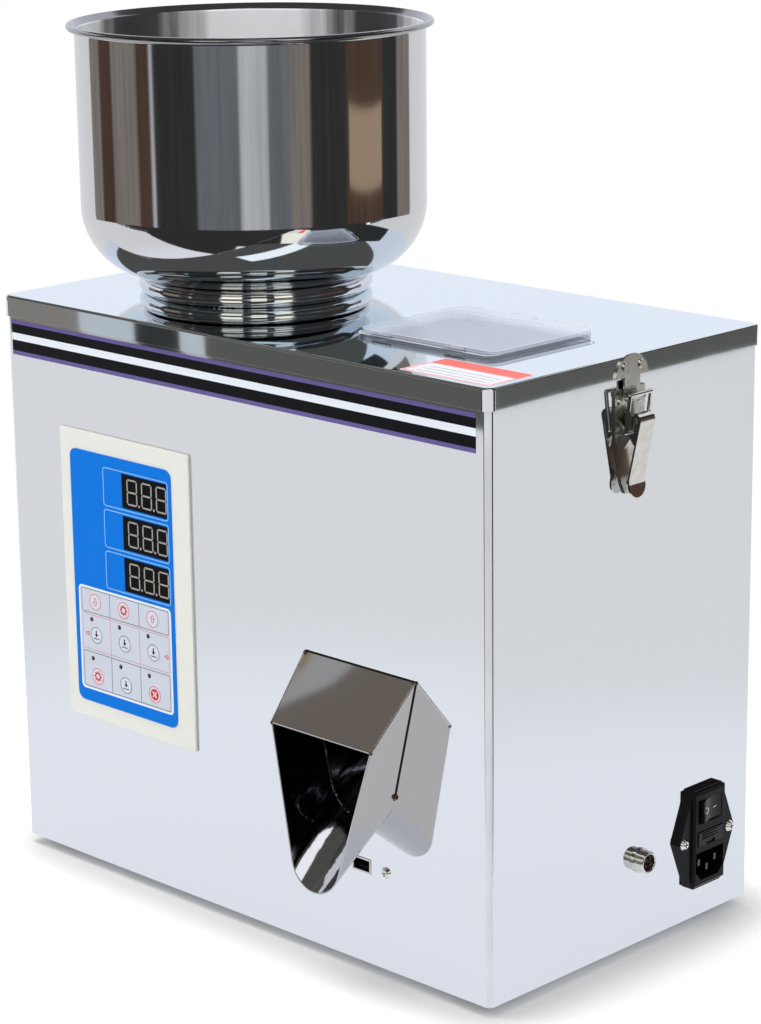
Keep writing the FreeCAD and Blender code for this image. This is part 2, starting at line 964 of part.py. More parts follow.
def make_panel_film():
    """Printed film over the bezel, cut out for the displays and the keys."""
    film = front_plate(
        bezel_centre_x + film_shift_x,
        level(bezel_centre_height + film_shift_z),
        film_width,
        film_height,
        (film_front(), front_y - bezel_thickness),
        film_corner,
    )
    for x, z in display_places():
        half_w = display_width / 2
        half_h = display_height / 2
        film = film.cut(
            block((x - half_w, x + half_w), (film_front() - 1, front_y), (z - half_h, z + half_h))
        )
    for x, z in key_places():
        film = film.cut(rod(key_radius + running_gap, V(x, film_front() - 1, z), V(x, front_y, z)))
    return film


def make_display_modules():
    """Three seven-segment display blocks behind smoked filters."""
    modules = []
    for x, z in display_places():
        half_w = display_width / 2 - weld_gap
        half_h = display_height / 2 - weld_gap
        face = film_front() + display_recess
        modules.append(
            block((x - half_w, x + half_w), (face, face + display_depth), (z - half_h, z + half_h))
        )
    return group(modules)


def panel_board_y():
    """Front face of the circuit board behind the control panel."""
    return film_front() + display_recess + display_depth


def panel_board_half():
    """Half the width and half the height of the panel board, which laps past the opening."""
    lap = panel_board_margin - bezel_window_margin
    return film_width / 2 + lap, film_height / 2 + lap


def make_panel_board():
    """Circuit board that carries the displays and the key switches."""
    x = bezel_centre_x + film_shift_x
    z = level(bezel_centre_height + film_shift_z)
    width, height = panel_board_half()
    y = panel_board_y()
    return block((x - width, x + width), (y, y + board_thickness), (z - height, z + height))


def key_stem_end():
    """Y of the inner end of a key at rest."""
    return panel_board_y() - switch_height - key_travel - key_stop_gap


def make_key(place):
    """One key: a pad in the film with a stem that reaches its switch."""
    x, z = place
    pad_back = front_y - bezel_thickness
    pad = rod(key_radius, V(x, film_front() - key_proud, z), V(x, pad_back, z))
    rim = [edge for edge in pad.Edges if edge.BoundBox.YMax < film_front() - key_proud + 1e-6]
    pad = pad.makeFillet(key_proud * 0.8, rim)
    stem = rod(key_stem_radius, V(x, pad_back, z), V(x, key_stem_end(), z))
    return fused([pad, stem])


def make_key_switches():
    """Nine small push switches on the panel board."""
    switches = []
    half = switch_size / 2
    board = panel_board_y()
    for x, z in key_places():
        switches.append(block((x - half, x + half), (board - switch_height, board), (z - half, z + half)))
    return group(switches)


def make_panel_posts():
    """Four spacers between the case's front and the corners of the panel board."""
    posts = []
    x = bezel_centre_x + film_shift_x
    z = level(bezel_centre_height + film_shift_z)
    width, height = panel_board_half()
    inset = panel_board_margin / 2
    for side in (-1, 1):
        for end in (-1, 1):
            post_x = x + side * (width - inset)
            post_z = z + end * (height - inset)
            start = V(post_x, front_y + case_sheet, post_z)
            posts.append(rod(panel_post_radius, start, V(post_x, panel_board_y(), post_z)))
    return group(posts)


# Toggle latches


def out_x(out):
    """X of a point given as its distance outboard of the case's right side."""
    return side_x + out


def side_plate(points, y_low, y_high):
    """Upright plate in the latch, on an outline of (outboard, height) points."""
    outline = [(out_x(out), level(height)) for out, height in points]
    return side_prism(outline, case_y + latch_y + y_low, y_high - y_low)


def cross_rod(radius, out, height, y_low, y_high):
    """Rod across the latch, along Y."""
    middle = case_y + latch_y
    start = V(out_x(out), middle + y_low, level(height))
    return rod(radius, start, V(out_x(out), middle + y_high, level(height)))


def base_rivet_rods(radius, low, high):
    """Rods at the three rivets of the latch base, along X."""
    places = [(-base_rivet_pitch / 2, base_rivet_height), (base_rivet_pitch / 2, base_rivet_height)]
    places.append((0, base_foot_rivet_height))
    middle = case_y + latch_y
    rods = []
    for y, height in places:
        start = V(out_x(low), middle + y, level(height))
        rods.append(rod(radius, start, V(out_x(high), middle + y, level(height))))
    return rods


def keeper_rivet_rods(radius, low, high):
    """Rods at the two rivets of the keeper, along X, from the lid's flange."""
    middle = case_y + latch_y
    rods = []
    for sign in (-1, 1):
        y = middle + sign * keeper_rivet_pitch / 2
        z = level(keeper_rivet_height)
        rods.append(rod(radius, V(out_x(lid_out + low), y, z), V(out_x(lid_out + high), y, z)))
    return rods


def make_latch_base():
    """Riveted base plate of a latch, with two folded arms that hold the lever's pin."""
    half = latch_base_width / 2
    foot = latch_base_foot_width / 2
    waist = level(latch_pivot_height - latch_eye * 3)
    top = level(latch_base_top)
    low = level(latch_base_bottom)
    middle = case_y + latch_y
    outline = [
        (middle - half, top),
        (middle - half, waist),
        (middle - foot, low + foot),
        (middle - foot / 2, low),
        (middle + foot / 2, low),
        (middle + foot, low + foot),
        (middle + half, waist),
        (middle + half, top),
    ]
    plate = face_prism(outline, side_x, latch_plate)
    for cutter in base_rivet_rods(rivet_radius + weld_gap, -1, latch_plate + 1):
        plate = plate.cut(cutter)
    pieces = [plate]
    eye = (latch_pivot_out, latch_pivot_height)
    upper = on_arc(eye, latch_eye, 205)
    lower = on_arc(eye, latch_eye, 315)
    root = latch_plate / 2
    web_top = latch_pivot_height - web_top_drop
    web = [upper, (root, web_top), (root, latch_pivot_height - web_bottom_drop), lower]
    for sign in (-1, 1):
        y_low, y_high = sorted((sign * (ear_outer - latch_plate), sign * ear_outer))
        pieces.append(side_plate(web, y_low, y_high))
        pieces.append(cross_rod(latch_eye, latch_pivot_out, latch_pivot_height, y_low, y_high))
    base = fused(pieces)
    reach = ear_outer + 1
    hole = cross_rod(latch_pin_radius + weld_gap, latch_pivot_out, latch_pivot_height, -reach, reach)
    return base.cut(hole)


def make_latch_pin():
    """Pin that the lever turns on."""
    reach = lever_half_width + 0.1
    return cross_rod(latch_pin_radius, latch_pivot_out, latch_pivot_height, -reach, reach)


def make_latch_lever():
    """Pressed lever: a curl over the pin, a tapering grip with an out-turned tip, and two side cheeks."""
    eye_out = latch_pivot_out
    eye_up = latch_pivot_height
    inner = latch_eye + moving_gap
    outer = inner + latch_plate
    width = lever_half_width
    curl = cross_rod(outer, eye_out, eye_up, -width, width)
    curl = curl.cut(cross_rod(inner, eye_out, eye_up, -width - 1, width + 1))
    wedge_reach = 3 * outer
    wedge = [
        (eye_out, eye_up),
        on_arc((eye_out, eye_up), wedge_reach, -8),
        on_arc((eye_out, eye_up), wedge_reach * 1.4, 45),
        on_arc((eye_out, eye_up), wedge_reach, 98),
    ]
    curl = curl.common(side_plate(wedge, -width, width))
    grip_outline = [
        (eye_out + outer, eye_up),
        (eye_out + inner, eye_up),
        (lever_knee_out, lever_knee_height),
        (lever_tip_out, lever_tip_height),
        (lever_tip_out + latch_plate, lever_tip_height),
        (lever_knee_out + latch_plate, lever_knee_height),
    ]
    tip = lever_tip_radius
    grip = side_plate(grip_outline, -tip, tip)
    middle = case_y + latch_y
    round_z = level(lever_tip_height) + tip
    top_z = level(eye_up)
    span = 4 * outer
    shape_low = rod(tip, V(out_x(0), middle, round_z), V(out_x(span), middle, round_z))
    taper = [(middle - tip, round_z), (middle + tip, round_z)]
    taper += [(middle + width, top_z), (middle - width, top_z)]
    shape_high = face_prism(taper, out_x(0), span)
    grip = grip.common(shape_low.fuse(shape_high))
    cheek_outline = [
        (eye_out + outer * 0.6, eye_up + outer * 0.75),
        (eye_out - outer * 0.1, eye_up + outer * 0.95),
        (eye_out - outer * 0.85, eye_up + outer * 0.3),
        (bail_pivot_out - 2.1, bail_pivot_height + 1.6),
        (bail_pivot_out - 2.1, bail_pivot_height - 1.6),
        (bail_pivot_out, bail_pivot_height - 3.0),
        (eye_out + inner - 2.2, eye_up - cheek_tail),
        (eye_out + inner + 0.4, eye_up - 1),
    ]
    cheeks = []
    for sign in (-1, 1):
        y_low, y_high = sorted((sign * (width - latch_plate), sign * width))
        cheeks.append(side_plate(cheek_outline, y_low, y_high))
    lever = fused([curl, grip] + cheeks)
    reach = width + 1
    lever = lever.cut(cross_rod(latch_pin_radius + running_gap, eye_out, eye_up, -reach, reach))
    return lever.cut(cross_rod(bail_wire + running_gap, bail_pivot_out, bail_pivot_height, -reach, reach))


def hook_outer():
    """How far outboard the keeper's hook reaches."""
    return lid_out + 2 * latch_plate + 2 * hook_radius


def bail_bar_out():
    """Distance outboard of the bail's bar, just clear of the hook."""
    return hook_outer() + moving_gap + bail_wire


def make_latch_bail():
    """Wire loop between the lever and the keeper's hook, with its ends bent into the cheeks."""
    middle = case_y + latch_y
    bar_x = out_x(bail_bar_out())
    bar_z = level(bail_bar_height)
    foot_x = out_x(bail_pivot_out)
    foot_z = level(bail_pivot_height)
    half = bail_half_width
    pieces = [cross_rod(bail_wire, bail_bar_out(), bail_bar_height, -half, half)]
    stub = ear_outer + moving_gap + 0.1
    for sign in (-1, 1):
        y = middle + sign * half
        pieces.append(rod(bail_wire, V(foot_x, y, foot_z), V(bar_x, y, bar_z)))
        pieces.append(Part.makeSphere(bail_wire, V(foot_x, y, foot_z)))
        pieces.append(Part.makeSphere(bail_wire, V(bar_x, y, bar_z)))
        low, high = sorted((sign * stub, sign * half))
        pieces.append(cross_rod(bail_wire, bail_pivot_out, bail_pivot_height, low, high))
    return fused(pieces)


def make_keeper():
    """Keeper on the lid's flange: a round-topped plate whose lower end curls out into a hook."""
    middle = case_y + latch_y
    x = out_x(lid_out)
    radius = keeper_half_width
    centre_z = level(keeper_top_height) - radius
    head = rod(radius, V(x, middle, centre_z), V(x + latch_plate, middle, centre_z))
    trim = block(
        (x - 1, x + 2 * latch_plate),
        (middle - radius, middle + radius),
        (level(keeper_shoulder_height), level(keeper_top_height)),
    )
    head = head.common(trim)
    half = hook_half_width
    neck = face_prism(
        [
            (middle - half, level(hook_height)),
            (middle + half, level(hook_height)),
            (middle + half, level(keeper_shoulder_height)),
            (middle + radius * 0.9, level(keeper_shoulder_height + 2.5)),
            (middle - radius * 0.9, level(keeper_shoulder_height + 2.5)),
            (middle - half, level(keeper_shoulder_height)),
        ],
        x,
        latch_plate,
    )
    bend_out = lid_out + latch_plate + hook_radius
    bend = cross_rod(hook_radius + latch_plate, bend_out, hook_height, -half, half)
    bend = bend.cut(cross_rod(hook_radius, bend_out, hook_height, -half - 1, half + 1))
    lower = [
        (bend_out - 2 * hook_outer(), hook_height),
        (bend_out + 2 * hook_outer(), hook_height),
        (bend_out + 2 * hook_outer(), hook_height - 2 * hook_outer()),
        (bend_out - 2 * hook_outer(), hook_height - 2 * hook_outer()),
    ]
    bend = bend.common(side_plate(lower, -half, half))
    lip_out = hook_outer()
    lip = [
        (lip_out - latch_plate, hook_height),
        (lip_out, hook_height),
        (lip_out, hook_height + hook_lip),
        (lip_out - latch_plate, hook_height + hook_lip),
    ]
    keeper = fused([head, neck, bend, side_plate(lip, -half, half)])
    for cutter in keeper_rivet_rods(rivet_radius + weld_gap, -1, latch_plate + 1):
        keeper = keeper.cut(cutter)
    return keeper


def rivet(shank, head_start, outward):
    """Rivet with a low domed head on the outboard end of its shank."""
    start = V(head_start.x, head_start.y, head_start.z)
    tip = start.add(V(outward * rivet_head_height, 0, 0))
    way = tip.sub(start)
    head = Part.makeCone(rivet_head_radius, rivet_head_radius * 0.6, rivet_head_height, start, way)
    return fused([shank, head])


def make_base_rivets():
    """Six rivets that hold the two latch bases to the case."""
    rivets = []
    low = -case_sheet
    for shank in base_rivet_rods(rivet_radius, low, latch_plate):
        centre = shank.BoundBox.Center
        piece = rivet(shank, V(out_x(latch_plate), centre.y, centre.z), 1)
        rivets += [piece, mirrored(piece)]
    return group(rivets)


def make_keeper_rivets():
    """Four rivets that hold the two keepers to the lid."""
    rivets = []
    for shank in keeper_rivet_rods(rivet_radius, -lid_sheet, latch_plate):
        centre = shank.BoundBox.Center
        piece = rivet(shank, V(out_x(lid_out + latch_plate), centre.y, centre.z), 1)
        rivets += [piece, mirrored(piece)]
    return group(rivets)


# Mains inlet


def inlet_point(y, z):
    """Y and Z of a point given from the centre of the mains inlet."""
    return case_y + inlet_y + y, level(inlet_height) + z


def inlet_block(out, y, z):
    """Box in the mains inlet: outboard limits, then limits from its centre."""
    low = inlet_point(y[0], z[0])
    high = inlet_point(y[1], z[1])
    return block((out_x(out[0]), out_x(out[1])), (low[0], high[0]), (low[1], high[1]))


def inlet_hole():
    """Cutter for the mains inlet's body in the right side."""
    half_w = inlet_body_half_width + weld_gap
    half_h = inlet_body_half_height + weld_gap
    return inlet_block((-2 * case_sheet, case_sheet), (-half_w, half_w), (-half_h, half_h))


def inlet_screw_rods(radius, low, high):
    """Rods at the two screws of the mains inlet, along X."""
    rods = []
    for sign in (-1, 1):
        y, z = inlet_point(sign * inlet_screw_pitch / 2, 0)
        rods.append(rod(radius, V(out_x(low), y, z), V(out_x(high), y, z)))
    return rods


def face_out():
    """How far the inlet's front face stands out from the case."""
    return inlet_flange + inlet_block_rise


def recess_outline(grow):
    """Outline of the mains socket: a box with two cut corners at the bottom."""
    half = recess_half_width + grow
    top = recess_centre + recess_height / 2 + grow
    low = recess_centre - recess_height / 2 - grow
    corner = recess_corner
    points = [
        (-half, top),
        (half, top),
        (half, low + corner),
        (half - corner, low),
        (corner - half, low),
        (-half, low + corner),
    ]
    return [inlet_point(y, z) for y, z in points]


def make_inlet_body():
    """Moulded inlet: hexagonal flange, raised face, rear body, mains recess and two pockets."""
    corners = [
        (-inlet_top_half, inlet_half_height),
        (inlet_top_half, inlet_half_height),
        (inlet_half_width, 0),
        (inlet_top_half, -inlet_half_height),
        (-inlet_top_half, -inlet_half_height),
        (-inlet_half_width, 0),
    ]
    flange = face_prism([inlet_point(y, z) for y, z in corners], side_x, inlet_flange)
    rounding = [edge for edge in flange.Edges if is_along(edge, X_AXIS)]
    flange = flange.makeFillet(inlet_chamfer * 1.5, rounding)
    face = inlet_block(
        (inlet_flange, face_out()),
        (-inlet_block_half_width, inlet_block_half_width),
        (-inlet_block_half_height, inlet_block_half_height),
    )
    rim = [edge for edge in face.Edges if edge.BoundBox.XMin > out_x(face_out()) - 1e-6]
    face = face.makeChamfer(inlet_chamfer, rim)
    rear = inlet_block(
        (-inlet_body_depth, 0),
        (-inlet_body_half_width, inlet_body_half_width),
        (-inlet_body_half_height, inlet_body_half_height),
    )
    body = fused([flange, face, rear])
    outward = face_out() + 1
    body = body.cut(face_prism(recess_outline(0), out_x(face_out() - recess_depth), recess_depth + 1))
    gap = moving_gap
    drawer = inlet_block(
        (face_out() - drawer_depth - gap, outward),
        (-drawer_half_width - gap, drawer_half_width + gap),
        (drawer_centre - drawer_height / 2 - gap, drawer_centre + drawer_height / 2 + gap),
    )
    pocket = inlet_block(
        (face_out() - rocker_pocket, outward),
        (-rocker_half_width - rocker_side_gap, rocker_half_width + rocker_side_gap),
        (rocker_centre - rocker_height / 2 - gap, rocker_centre + rocker_height / 2 + gap),
    )
    body = body.cut(drawer).cut(pocket)
    pin_reach = rocker_height / 2 + gap + 1.4
    y, low = inlet_point(0, rocker_centre - pin_reach)
    high = inlet_point(0, rocker_centre + pin_reach)[1]
    pivot_x = out_x(face_out() - rocker_pivot_depth)
    body = body.cut(rod(1.0 + running_gap, V(pivot_x, y, low), V(pivot_x, y, high)))
    for cutter in inlet_screw_rods(inlet_screw_radius + weld_gap, -1, outward):
        body = body.cut(cutter)
    return body


def make_inlet_pins():
    """Two live blades and the earth blade in the mains recess."""
    start = face_out() - recess_depth
    pins = []
    places = [
        (-contact_pitch / 2, recess_centre + contact_rise),
        (contact_pitch / 2, recess_centre + contact_rise),
        (0, recess_centre - earth_drop),
    ]
    half_w = contact_width / 2
    half_h = contact_height / 2
    for y, z in places:
        out = (start, start + contact_length)
        pins.append(inlet_block(out, (y - half_w, y + half_w), (z - half_h, z + half_h)))
    return group(pins)


def make_inlet_screws():
    """Two screws with low conical heads through the flange."""
    screws = []
    for shank in inlet_screw_rods(inlet_screw_radius, -case_sheet - 4, inlet_flange):
        centre = shank.BoundBox.Center
        start = V(out_x(inlet_flange), centre.y, centre.z)
        head = Part.makeCone(inlet_screw_head, inlet_screw_head * 0.65, 1.5, start, X_AXIS)
        screws.append(fused([shank, head]))
    return group(screws)


def make_fuse_drawer():
    """Pull-out fuse carrier with a finger groove in its face."""
    start = face_out() - drawer_depth
    half_h = drawer_height / 2
    carrier = inlet_block(
        (start, face_out() + 0.6),
        (-drawer_half_width, drawer_half_width),
        (drawer_centre - half_h, drawer_centre + half_h),
    )
    cradle = inlet_block(
        (start + 1.5, start + 1.5 + 3 * fuse_radius),
        (-fuse_length / 2 - weld_gap, fuse_length / 2 + weld_gap),
        (drawer_centre - fuse_radius, drawer_centre + half_h + 1),
    )
    groove = inlet_block(
        (face_out() - 0.8, face_out() + 1),
        (-drawer_half_width * 0.35, drawer_half_width * 0.35),
        (drawer_centre - half_h - 1, drawer_centre - half_h + 2),
    )
    return carrier.cut(cradle).cut(groove)


def make_fuse():
    """Glass fuse lying in the drawer."""
    start = face_out() - drawer_depth + 1.5 + fuse_radius
    y, z = inlet_point(0, drawer_centre)
    x = out_x(start)
    return rod(fuse_radius - weld_gap, V(x, y - fuse_length / 2, z), V(x, y + fuse_length / 2, z))


def make_rocker():
    """Rocker of the mains switch: a shallow dished face on a rounded back, tilted to its off side."""
    depth = rocker_pivot_depth
    half = rocker_half_width
    y0, z0 = inlet_point(0, rocker_centre - rocker_height / 2)
    pivot = V(out_x(face_out() - depth), y0, z0)
    front_edge = pivot.x + depth + 1.2
    valley = pivot.x + depth - 0.6
    edges = [
        Part.Arc(V(front_edge, y0 - half, z0), V(valley, y0, z0), V(front_edge, y0 + half, z0)).toShape(),
        Part.LineSegment(V(front_edge, y0 + half, z0), V(pivot.x, y0 + half, z0)).toShape(),
        Part.LineSegment(V(pivot.x, y0 + half, z0), V(pivot.x - 3, y0, z0)).toShape(),
        Part.LineSegment(V(pivot.x - 3, y0, z0), V(pivot.x, y0 - half, z0)).toShape(),
        Part.LineSegment(V(pivot.x, y0 - half, z0), V(front_edge, y0 - half, z0)).toShape(),
    ]
    body = Part.Face(Part.Wire(edges)).extrude(V(0, 0, rocker_height))
    pin = rod(1.0, V(pivot.x, y0, z0 - 1.2), V(pivot.x, y0, z0 + rocker_height + 1.2))
    rocker = fused([body, pin])
    rocker.rotate(pivot, Z_AXIS, rocker_tilt)
    return rocker


# Round sensor socket


def socket_centre(out):
    """Point on the round socket's axis at a distance outboard of the case."""
    return V(out_x(out), case_y + socket_y, level(socket_height))


def socket_hole():
    """Cutter for the round socket in the right side."""
    return rod(socket_radius + weld_gap, socket_centre(-2 * case_sheet), socket_centre(case_sheet))


def make_socket_shell():
    """Threaded metal shell with a collar against the case and a bore for the mating plug."""
    tail = -case_sheet - socket_tail
    shell = fused(
        [
            rod(socket_radius, socket_centre(tail), socket_centre(socket_reach)),
            rod(socket_collar_radius, socket_centre(0), socket_centre(socket_collar)),
        ]
    )
    bore_start = socket_centre(socket_reach - socket_bore_depth)
    shell = shell.cut(rod(socket_bore, bore_start, socket_centre(socket_reach + 1)))
    mouth = [edge for edge in shell.Edges if edge.BoundBox.XMin > out_x(socket_reach) - 1e-6]
    return shell.makeChamfer(0.4, mouth)


def make_socket_insert():
    """Dark insulator at the bottom of the socket, with a key slot in its edge."""
    start = socket_centre(socket_reach - socket_bore_depth)
    end = socket_centre(socket_reach - socket_bore_depth + socket_insert_length)
    insert = rod(socket_bore - weld_gap, start, end)
    slot = block(
        (start.x + 1, end.x + 1),
        (start.y - 0.9, start.y + 0.9),
        (start.z - 2 * socket_bore, start.z - socket_bore + 1.2),
    )
    return insert.cut(slot)


def make_socket_pins():
    """Contact pins of the round socket, standing out of its insert."""
    base = socket_centre(socket_reach - socket_bore_depth + socket_insert_length)
    pins = []
    for index in range(socket_pin_count):
        turn = math.radians(45 + index * 360 / socket_pin_count)
        start = base.add(V(0, socket_pin_circle * math.cos(turn), socket_pin_circle * math.sin(turn)))
        pins.append(rod(socket_pin_radius, start, start.add(V(socket_pin_proud, 0, 0))))
    return group(pins)


def make_socket_nut():
    """Hexagon nut that clamps the socket from inside the case."""
    start = socket_centre(-case_sheet - socket_nut)
    radius = socket_nut_width / 2 / math.cos(math.radians(30))
    corners = []
    for index in range(6):
        turn = math.radians(60 * index)
        corners.append((start.y + radius * math.cos(turn), start.z + radius * math.sin(turn)))
    nut = face_prism(corners, start.x, socket_nut)
    return nut.cut(rod(socket_radius + weld_gap, socket_centre(-30), socket_centre(1)))


# Data socket under the spout


def port_block(width, tall, y):
    """Box centred on the data socket."""
    z = level(port_height)
    return block((port_x - width / 2, port_x + width / 2), y, (z - tall / 2, z + tall / 2))


def port_hole():
    """Cutters for the data socket and for the screw beside it."""
    hole = port_block(port_width + 2 * weld_gap, port_tall + 2 * weld_gap, (front_y - 1, front_y + 3))
    start = V(port_screw_x, front_y - 1, level(port_height))
    screw = rod(port_screw_radius + weld_gap, start, start.add(V(0, 4, 0)))
    return hole.fuse(screw)


def make_port_shell():
    """Square metal shell of the data socket, closed at the back."""
    y = (front_y - port_proud, front_y + port_depth)
    shell = port_block(port_width, port_tall, y)
    hollow = port_block(
        port_width - 2 * port_wall, port_tall - 2 * port_wall, (y[0] - 1, y[1] - port_wall)
    )
    return shell.cut(hollow)


def make_port_tongue():
    """Contact tongue inside the data socket."""
    z = level(port_height) - port_tall / 2 + port_wall
    half = port_width / 2 - 2 * port_wall
    y = (front_y + 2, front_y + port_depth - port_wall)
    return block((port_x - half, port_x + half), y, (z + weld_gap, z + port_tongue))


def make_port_board():
    """Small circuit board behind the front panel that carries the data socket."""
    z = level(port_height)
    y = front_y + case_sheet + port_spacer
    high_x = port_screw_x + port_board_lap
    half = port_board_tall / 2
    board = block((high_x - port_board_width, high_x), (y, y + board_thickness), (z - half, z + half))
    board = board.cut(port_block(port_width + 2 * weld_gap, port_tall + 2 * weld_gap, (y - 1, y + 5)))
    hole = rod(port_screw_radius + weld_gap, V(port_screw_x, y - 1, z), V(port_screw_x, y + 5, z))
    return board.cut(hole)


def make_port_screw():
    """Cross-recess screw with its spacer, holding the data board to the front panel."""
    z = level(port_height)
    board_y = front_y + case_sheet + port_spacer
    start = V(port_screw_x, front_y, z)
    head = Part.makeCone(port_screw_head, port_screw_head * 0.6, port_screw_height, start, V(0, -1, 0))
    slot_y = (front_y - 2 * port_screw_height, front_y - port_screw_height / 2)
    for half_x, half_z in ((port_screw_head / 2, port_slot / 2), (port_slot / 2, port_screw_head / 2)):
        slot = block((port_screw_x - half_x, port_screw_x + half_x), slot_y, (z - half_z, z + half_z))
        head = head.cut(slot)
    shank = rod(port_screw_radius, start, V(port_screw_x, board_y + board_thickness, z))
    nut_start = V(port_screw_x, board_y + board_thickness, z)
    nut = rod(2 * port_screw_radius, nut_start, nut_start.add(V(0, port_nut, 0)))
    spacer_start = V(port_screw_x, front_y + case_sheet, z)
    spacer = rod(2 * port_screw_radius, spacer_start, V(port_screw_x, board_y, z))
    return fused([head, shank, nut, spacer])


# Feeder


def lean(shape, origin):
    """Turn a piece so that its up direction leans back along the leaf springs."""
    shape.rotate(origin, Y_AXIS, -feeder_lean)
    return shape


def deck_top():
    """Height of the shelf that carries the feeder."""
    return level(deck_height) + deck_sheet


def feeder_bottom():
    """Height of the underside of the feeder's base."""
    return deck_top() + feeder_mount_height


def lean_shift(z):
    """How far the leaning springs have moved back at a height."""
    return -(z - feeder_bottom()) * math.tan(math.radians(feeder_lean))


def lean_block(low, high, inset):
    """Block between two heights whose end faces lean with the springs."""
    half = feeder_length / 2 - inset
    points = [
        (feeder_x - half + lean_shift(low), low),
        (feeder_x + half + lean_shift(low), low),
        (feeder_x + half + lean_shift(high), high),
        (feeder_x - half + lean_shift(high), high),
    ]
    return side_prism(points, path_y - feeder_width / 2, feeder_width)


def bracket_bottom():
    """Underside of the bracket that carries the tray."""
    return tray_z - bracket_thickness


def make_feeder_deck():
    """Shelf for the feeder, folded down at its front to stand on the case's floor."""
    left = -side_x + case_sheet
    front = case_y + deck_front
    top = deck_top()
    shelf = block((left, deck_right), (front, back_y - case_sheet), (top - deck_sheet, top))
    web_left = left + case_sheet + base_flange
    web = block((web_left, deck_right), (front, front + deck_sheet), (base_z + case_sheet, top))
    corner = block(
        (left - 1, left + case_sheet + weld_gap),
        (back_y - case_rim - weld_gap, back_y),
        (top - 2 * deck_sheet, top + deck_sheet),
    )
    return fused([shelf, web]).cut(corner)


def mount_places():
    """Centres of the rubber mounts under the feeder's base."""
    places = []
    for sign_x in (-1, 1):
        for sign_y in (-1, 1):
            places.append(
                (
                    feeder_x + sign_x * feeder_mount_pitch_x / 2,
                    path_y + sign_y * (feeder_width / 2 - feeder_mount_radius),
                )
            )
    return places


def make_feeder_mounts():
    """Four waisted rubber mounts."""
    mounts = []
    low = deck_top()
    high = feeder_bottom()
    r = feeder_mount_radius
    for x, y in mount_places():
        outline = [(0, low), (r, low), (r, high), (0, high)]
        mounts.append(turned(outline, x, y, [(1, (r * 0.8, (low + high) / 2))]))
    return group(mounts)


def make_feeder_base():
    """Heavy cast base of the feeder, its ends cut to the slope of the springs."""
    low = feeder_bottom()
    return lean_block(low, low + feeder_base_thickness, 0)


def spring_strips(side, low, high, start, thickness):
    """Leaning plate outside one end of the feeder, between two heights."""
    half = feeder_length / 2
    slant = thickness / math.cos(math.radians(feeder_lean))
    offset = start / math.cos(math.radians(feeder_lean))
    near = feeder_x + side * (half + offset)
    far = near + side * slant
    points = [
        (near + lean_shift(low), low),
        (far + lean_shift(low), low),
        (far + lean_shift(high), high),
        (near + lean_shift(high), high),
    ]
    return side_prism(points, path_y - feeder_width / 2, feeder_width)


def make_leaf_springs():
    """Two leaf springs that join the base to the tray's bracket."""
    low = feeder_bottom() + feeder_base_thickness - spring_overlap
    high = bracket_bottom() + bracket_thickness * 0.9
    return group([spring_strips(side, low, high, 0, spring_sheet) for side in (-1, 1)])


def clamp_levels():
    """Mid-heights of the spring clamps on the base."""
    return feeder_bottom() + feeder_base_thickness - spring_overlap / 2


def make_spring_clamps():
    """Clamp bars with two hexagon bolts each, holding the springs' lower ends."""
    pieces = []
    middle = clamp_levels()
    half = clamp_bar_width / 2
    outward = math.cos(math.radians(feeder_lean))
    upward = math.sin(math.radians(feeder_lean))
    for side in (-1, 1):
        bar = spring_strips(side, middle - half, middle + half, spring_sheet, clamp_bar)
        bolts = []
        for sign in (-1, 1):
            y = path_y + sign * bolt_pitch / 2
            face = (feeder_length / 2 + (spring_sheet + clamp_bar) / outward) * side
            start = V(feeder_x + face + lean_shift(middle), y, middle)
            way = V(side * outward, 0, side * upward)
            bolts.append(rod(bolt_head_radius, start, start.add(way.multiply(bolt_head_height))))
        pieces.append(fused([bar] + bolts))
    return group(pieces)


def make_tray_bracket():
    """Alloy bracket under the tray, its ends cut to the slope of the springs."""
    low = bracket_bottom()
    bracket = lean_block(low, tray_z, 0)
    hollow = lean_block(low - 1, tray_z - bracket_roof, 2 * bracket_wall)
    keep = block((-side_x, side_x), (path_y - slot_half(), path_y + slot_half()), (low - 2, tray_z))
    return bracket.cut(hollow.common(keep))


def magnet_origin():
    """Point between the magnet and the armature, on top of the feeder's base."""
    top = feeder_bottom() + feeder_base_thickness
    return V(feeder_x + lean_shift(top), path_y, top)


def make_magnet_core():
    """Laminated core with three legs, one above the other, that stands on the feeder's base."""
    o = magnet_origin()
    half = magnet_width / 2
    leg = magnet_height / 6
    core = block((o.x - magnet_depth, o.x), (o.y - half, o.y + half), (o.z - leg, o.z + magnet_height))
    for step in (2, 5):
        low = o.z - leg + step * leg
        wide = (o.y - half - 1, o.y + half + 1)
        core = core.cut(block((o.x - magnet_depth + leg, o.x + 1), wide, (low, low + leg)))
    core = lean(core, o)
    above = block((-side_x, side_x), (front_y, back_y), (o.z, lid_top))
    return core.common(above)


def make_magnet_coil():
    """Winding round the core's middle leg."""
    o = magnet_origin()
    leg = magnet_height / 6
    middle = o.z + magnet_height / 2
    x = (o.x - magnet_depth + leg + moving_gap, o.x - 2)
    inner_y = magnet_width / 2 + moving_gap
    inner_z = leg + moving_gap
    outer_z = 2 * leg - moving_gap
    outer_y = inner_y + outer_z - inner_z
    coil = block(x, (o.y - outer_y, o.y + outer_y), (middle - outer_z, middle + outer_z))
    bore = block(
        (x[0] - 1, x[1] + 1), (o.y - inner_y, o.y + inner_y), (middle - inner_z, middle + inner_z)
    )
    return lean(coil.cut(bore), o)


def slot_half():
    """Half the width of the hollow in the tray's bracket."""
    return feeder_width / 2 - bracket_wall


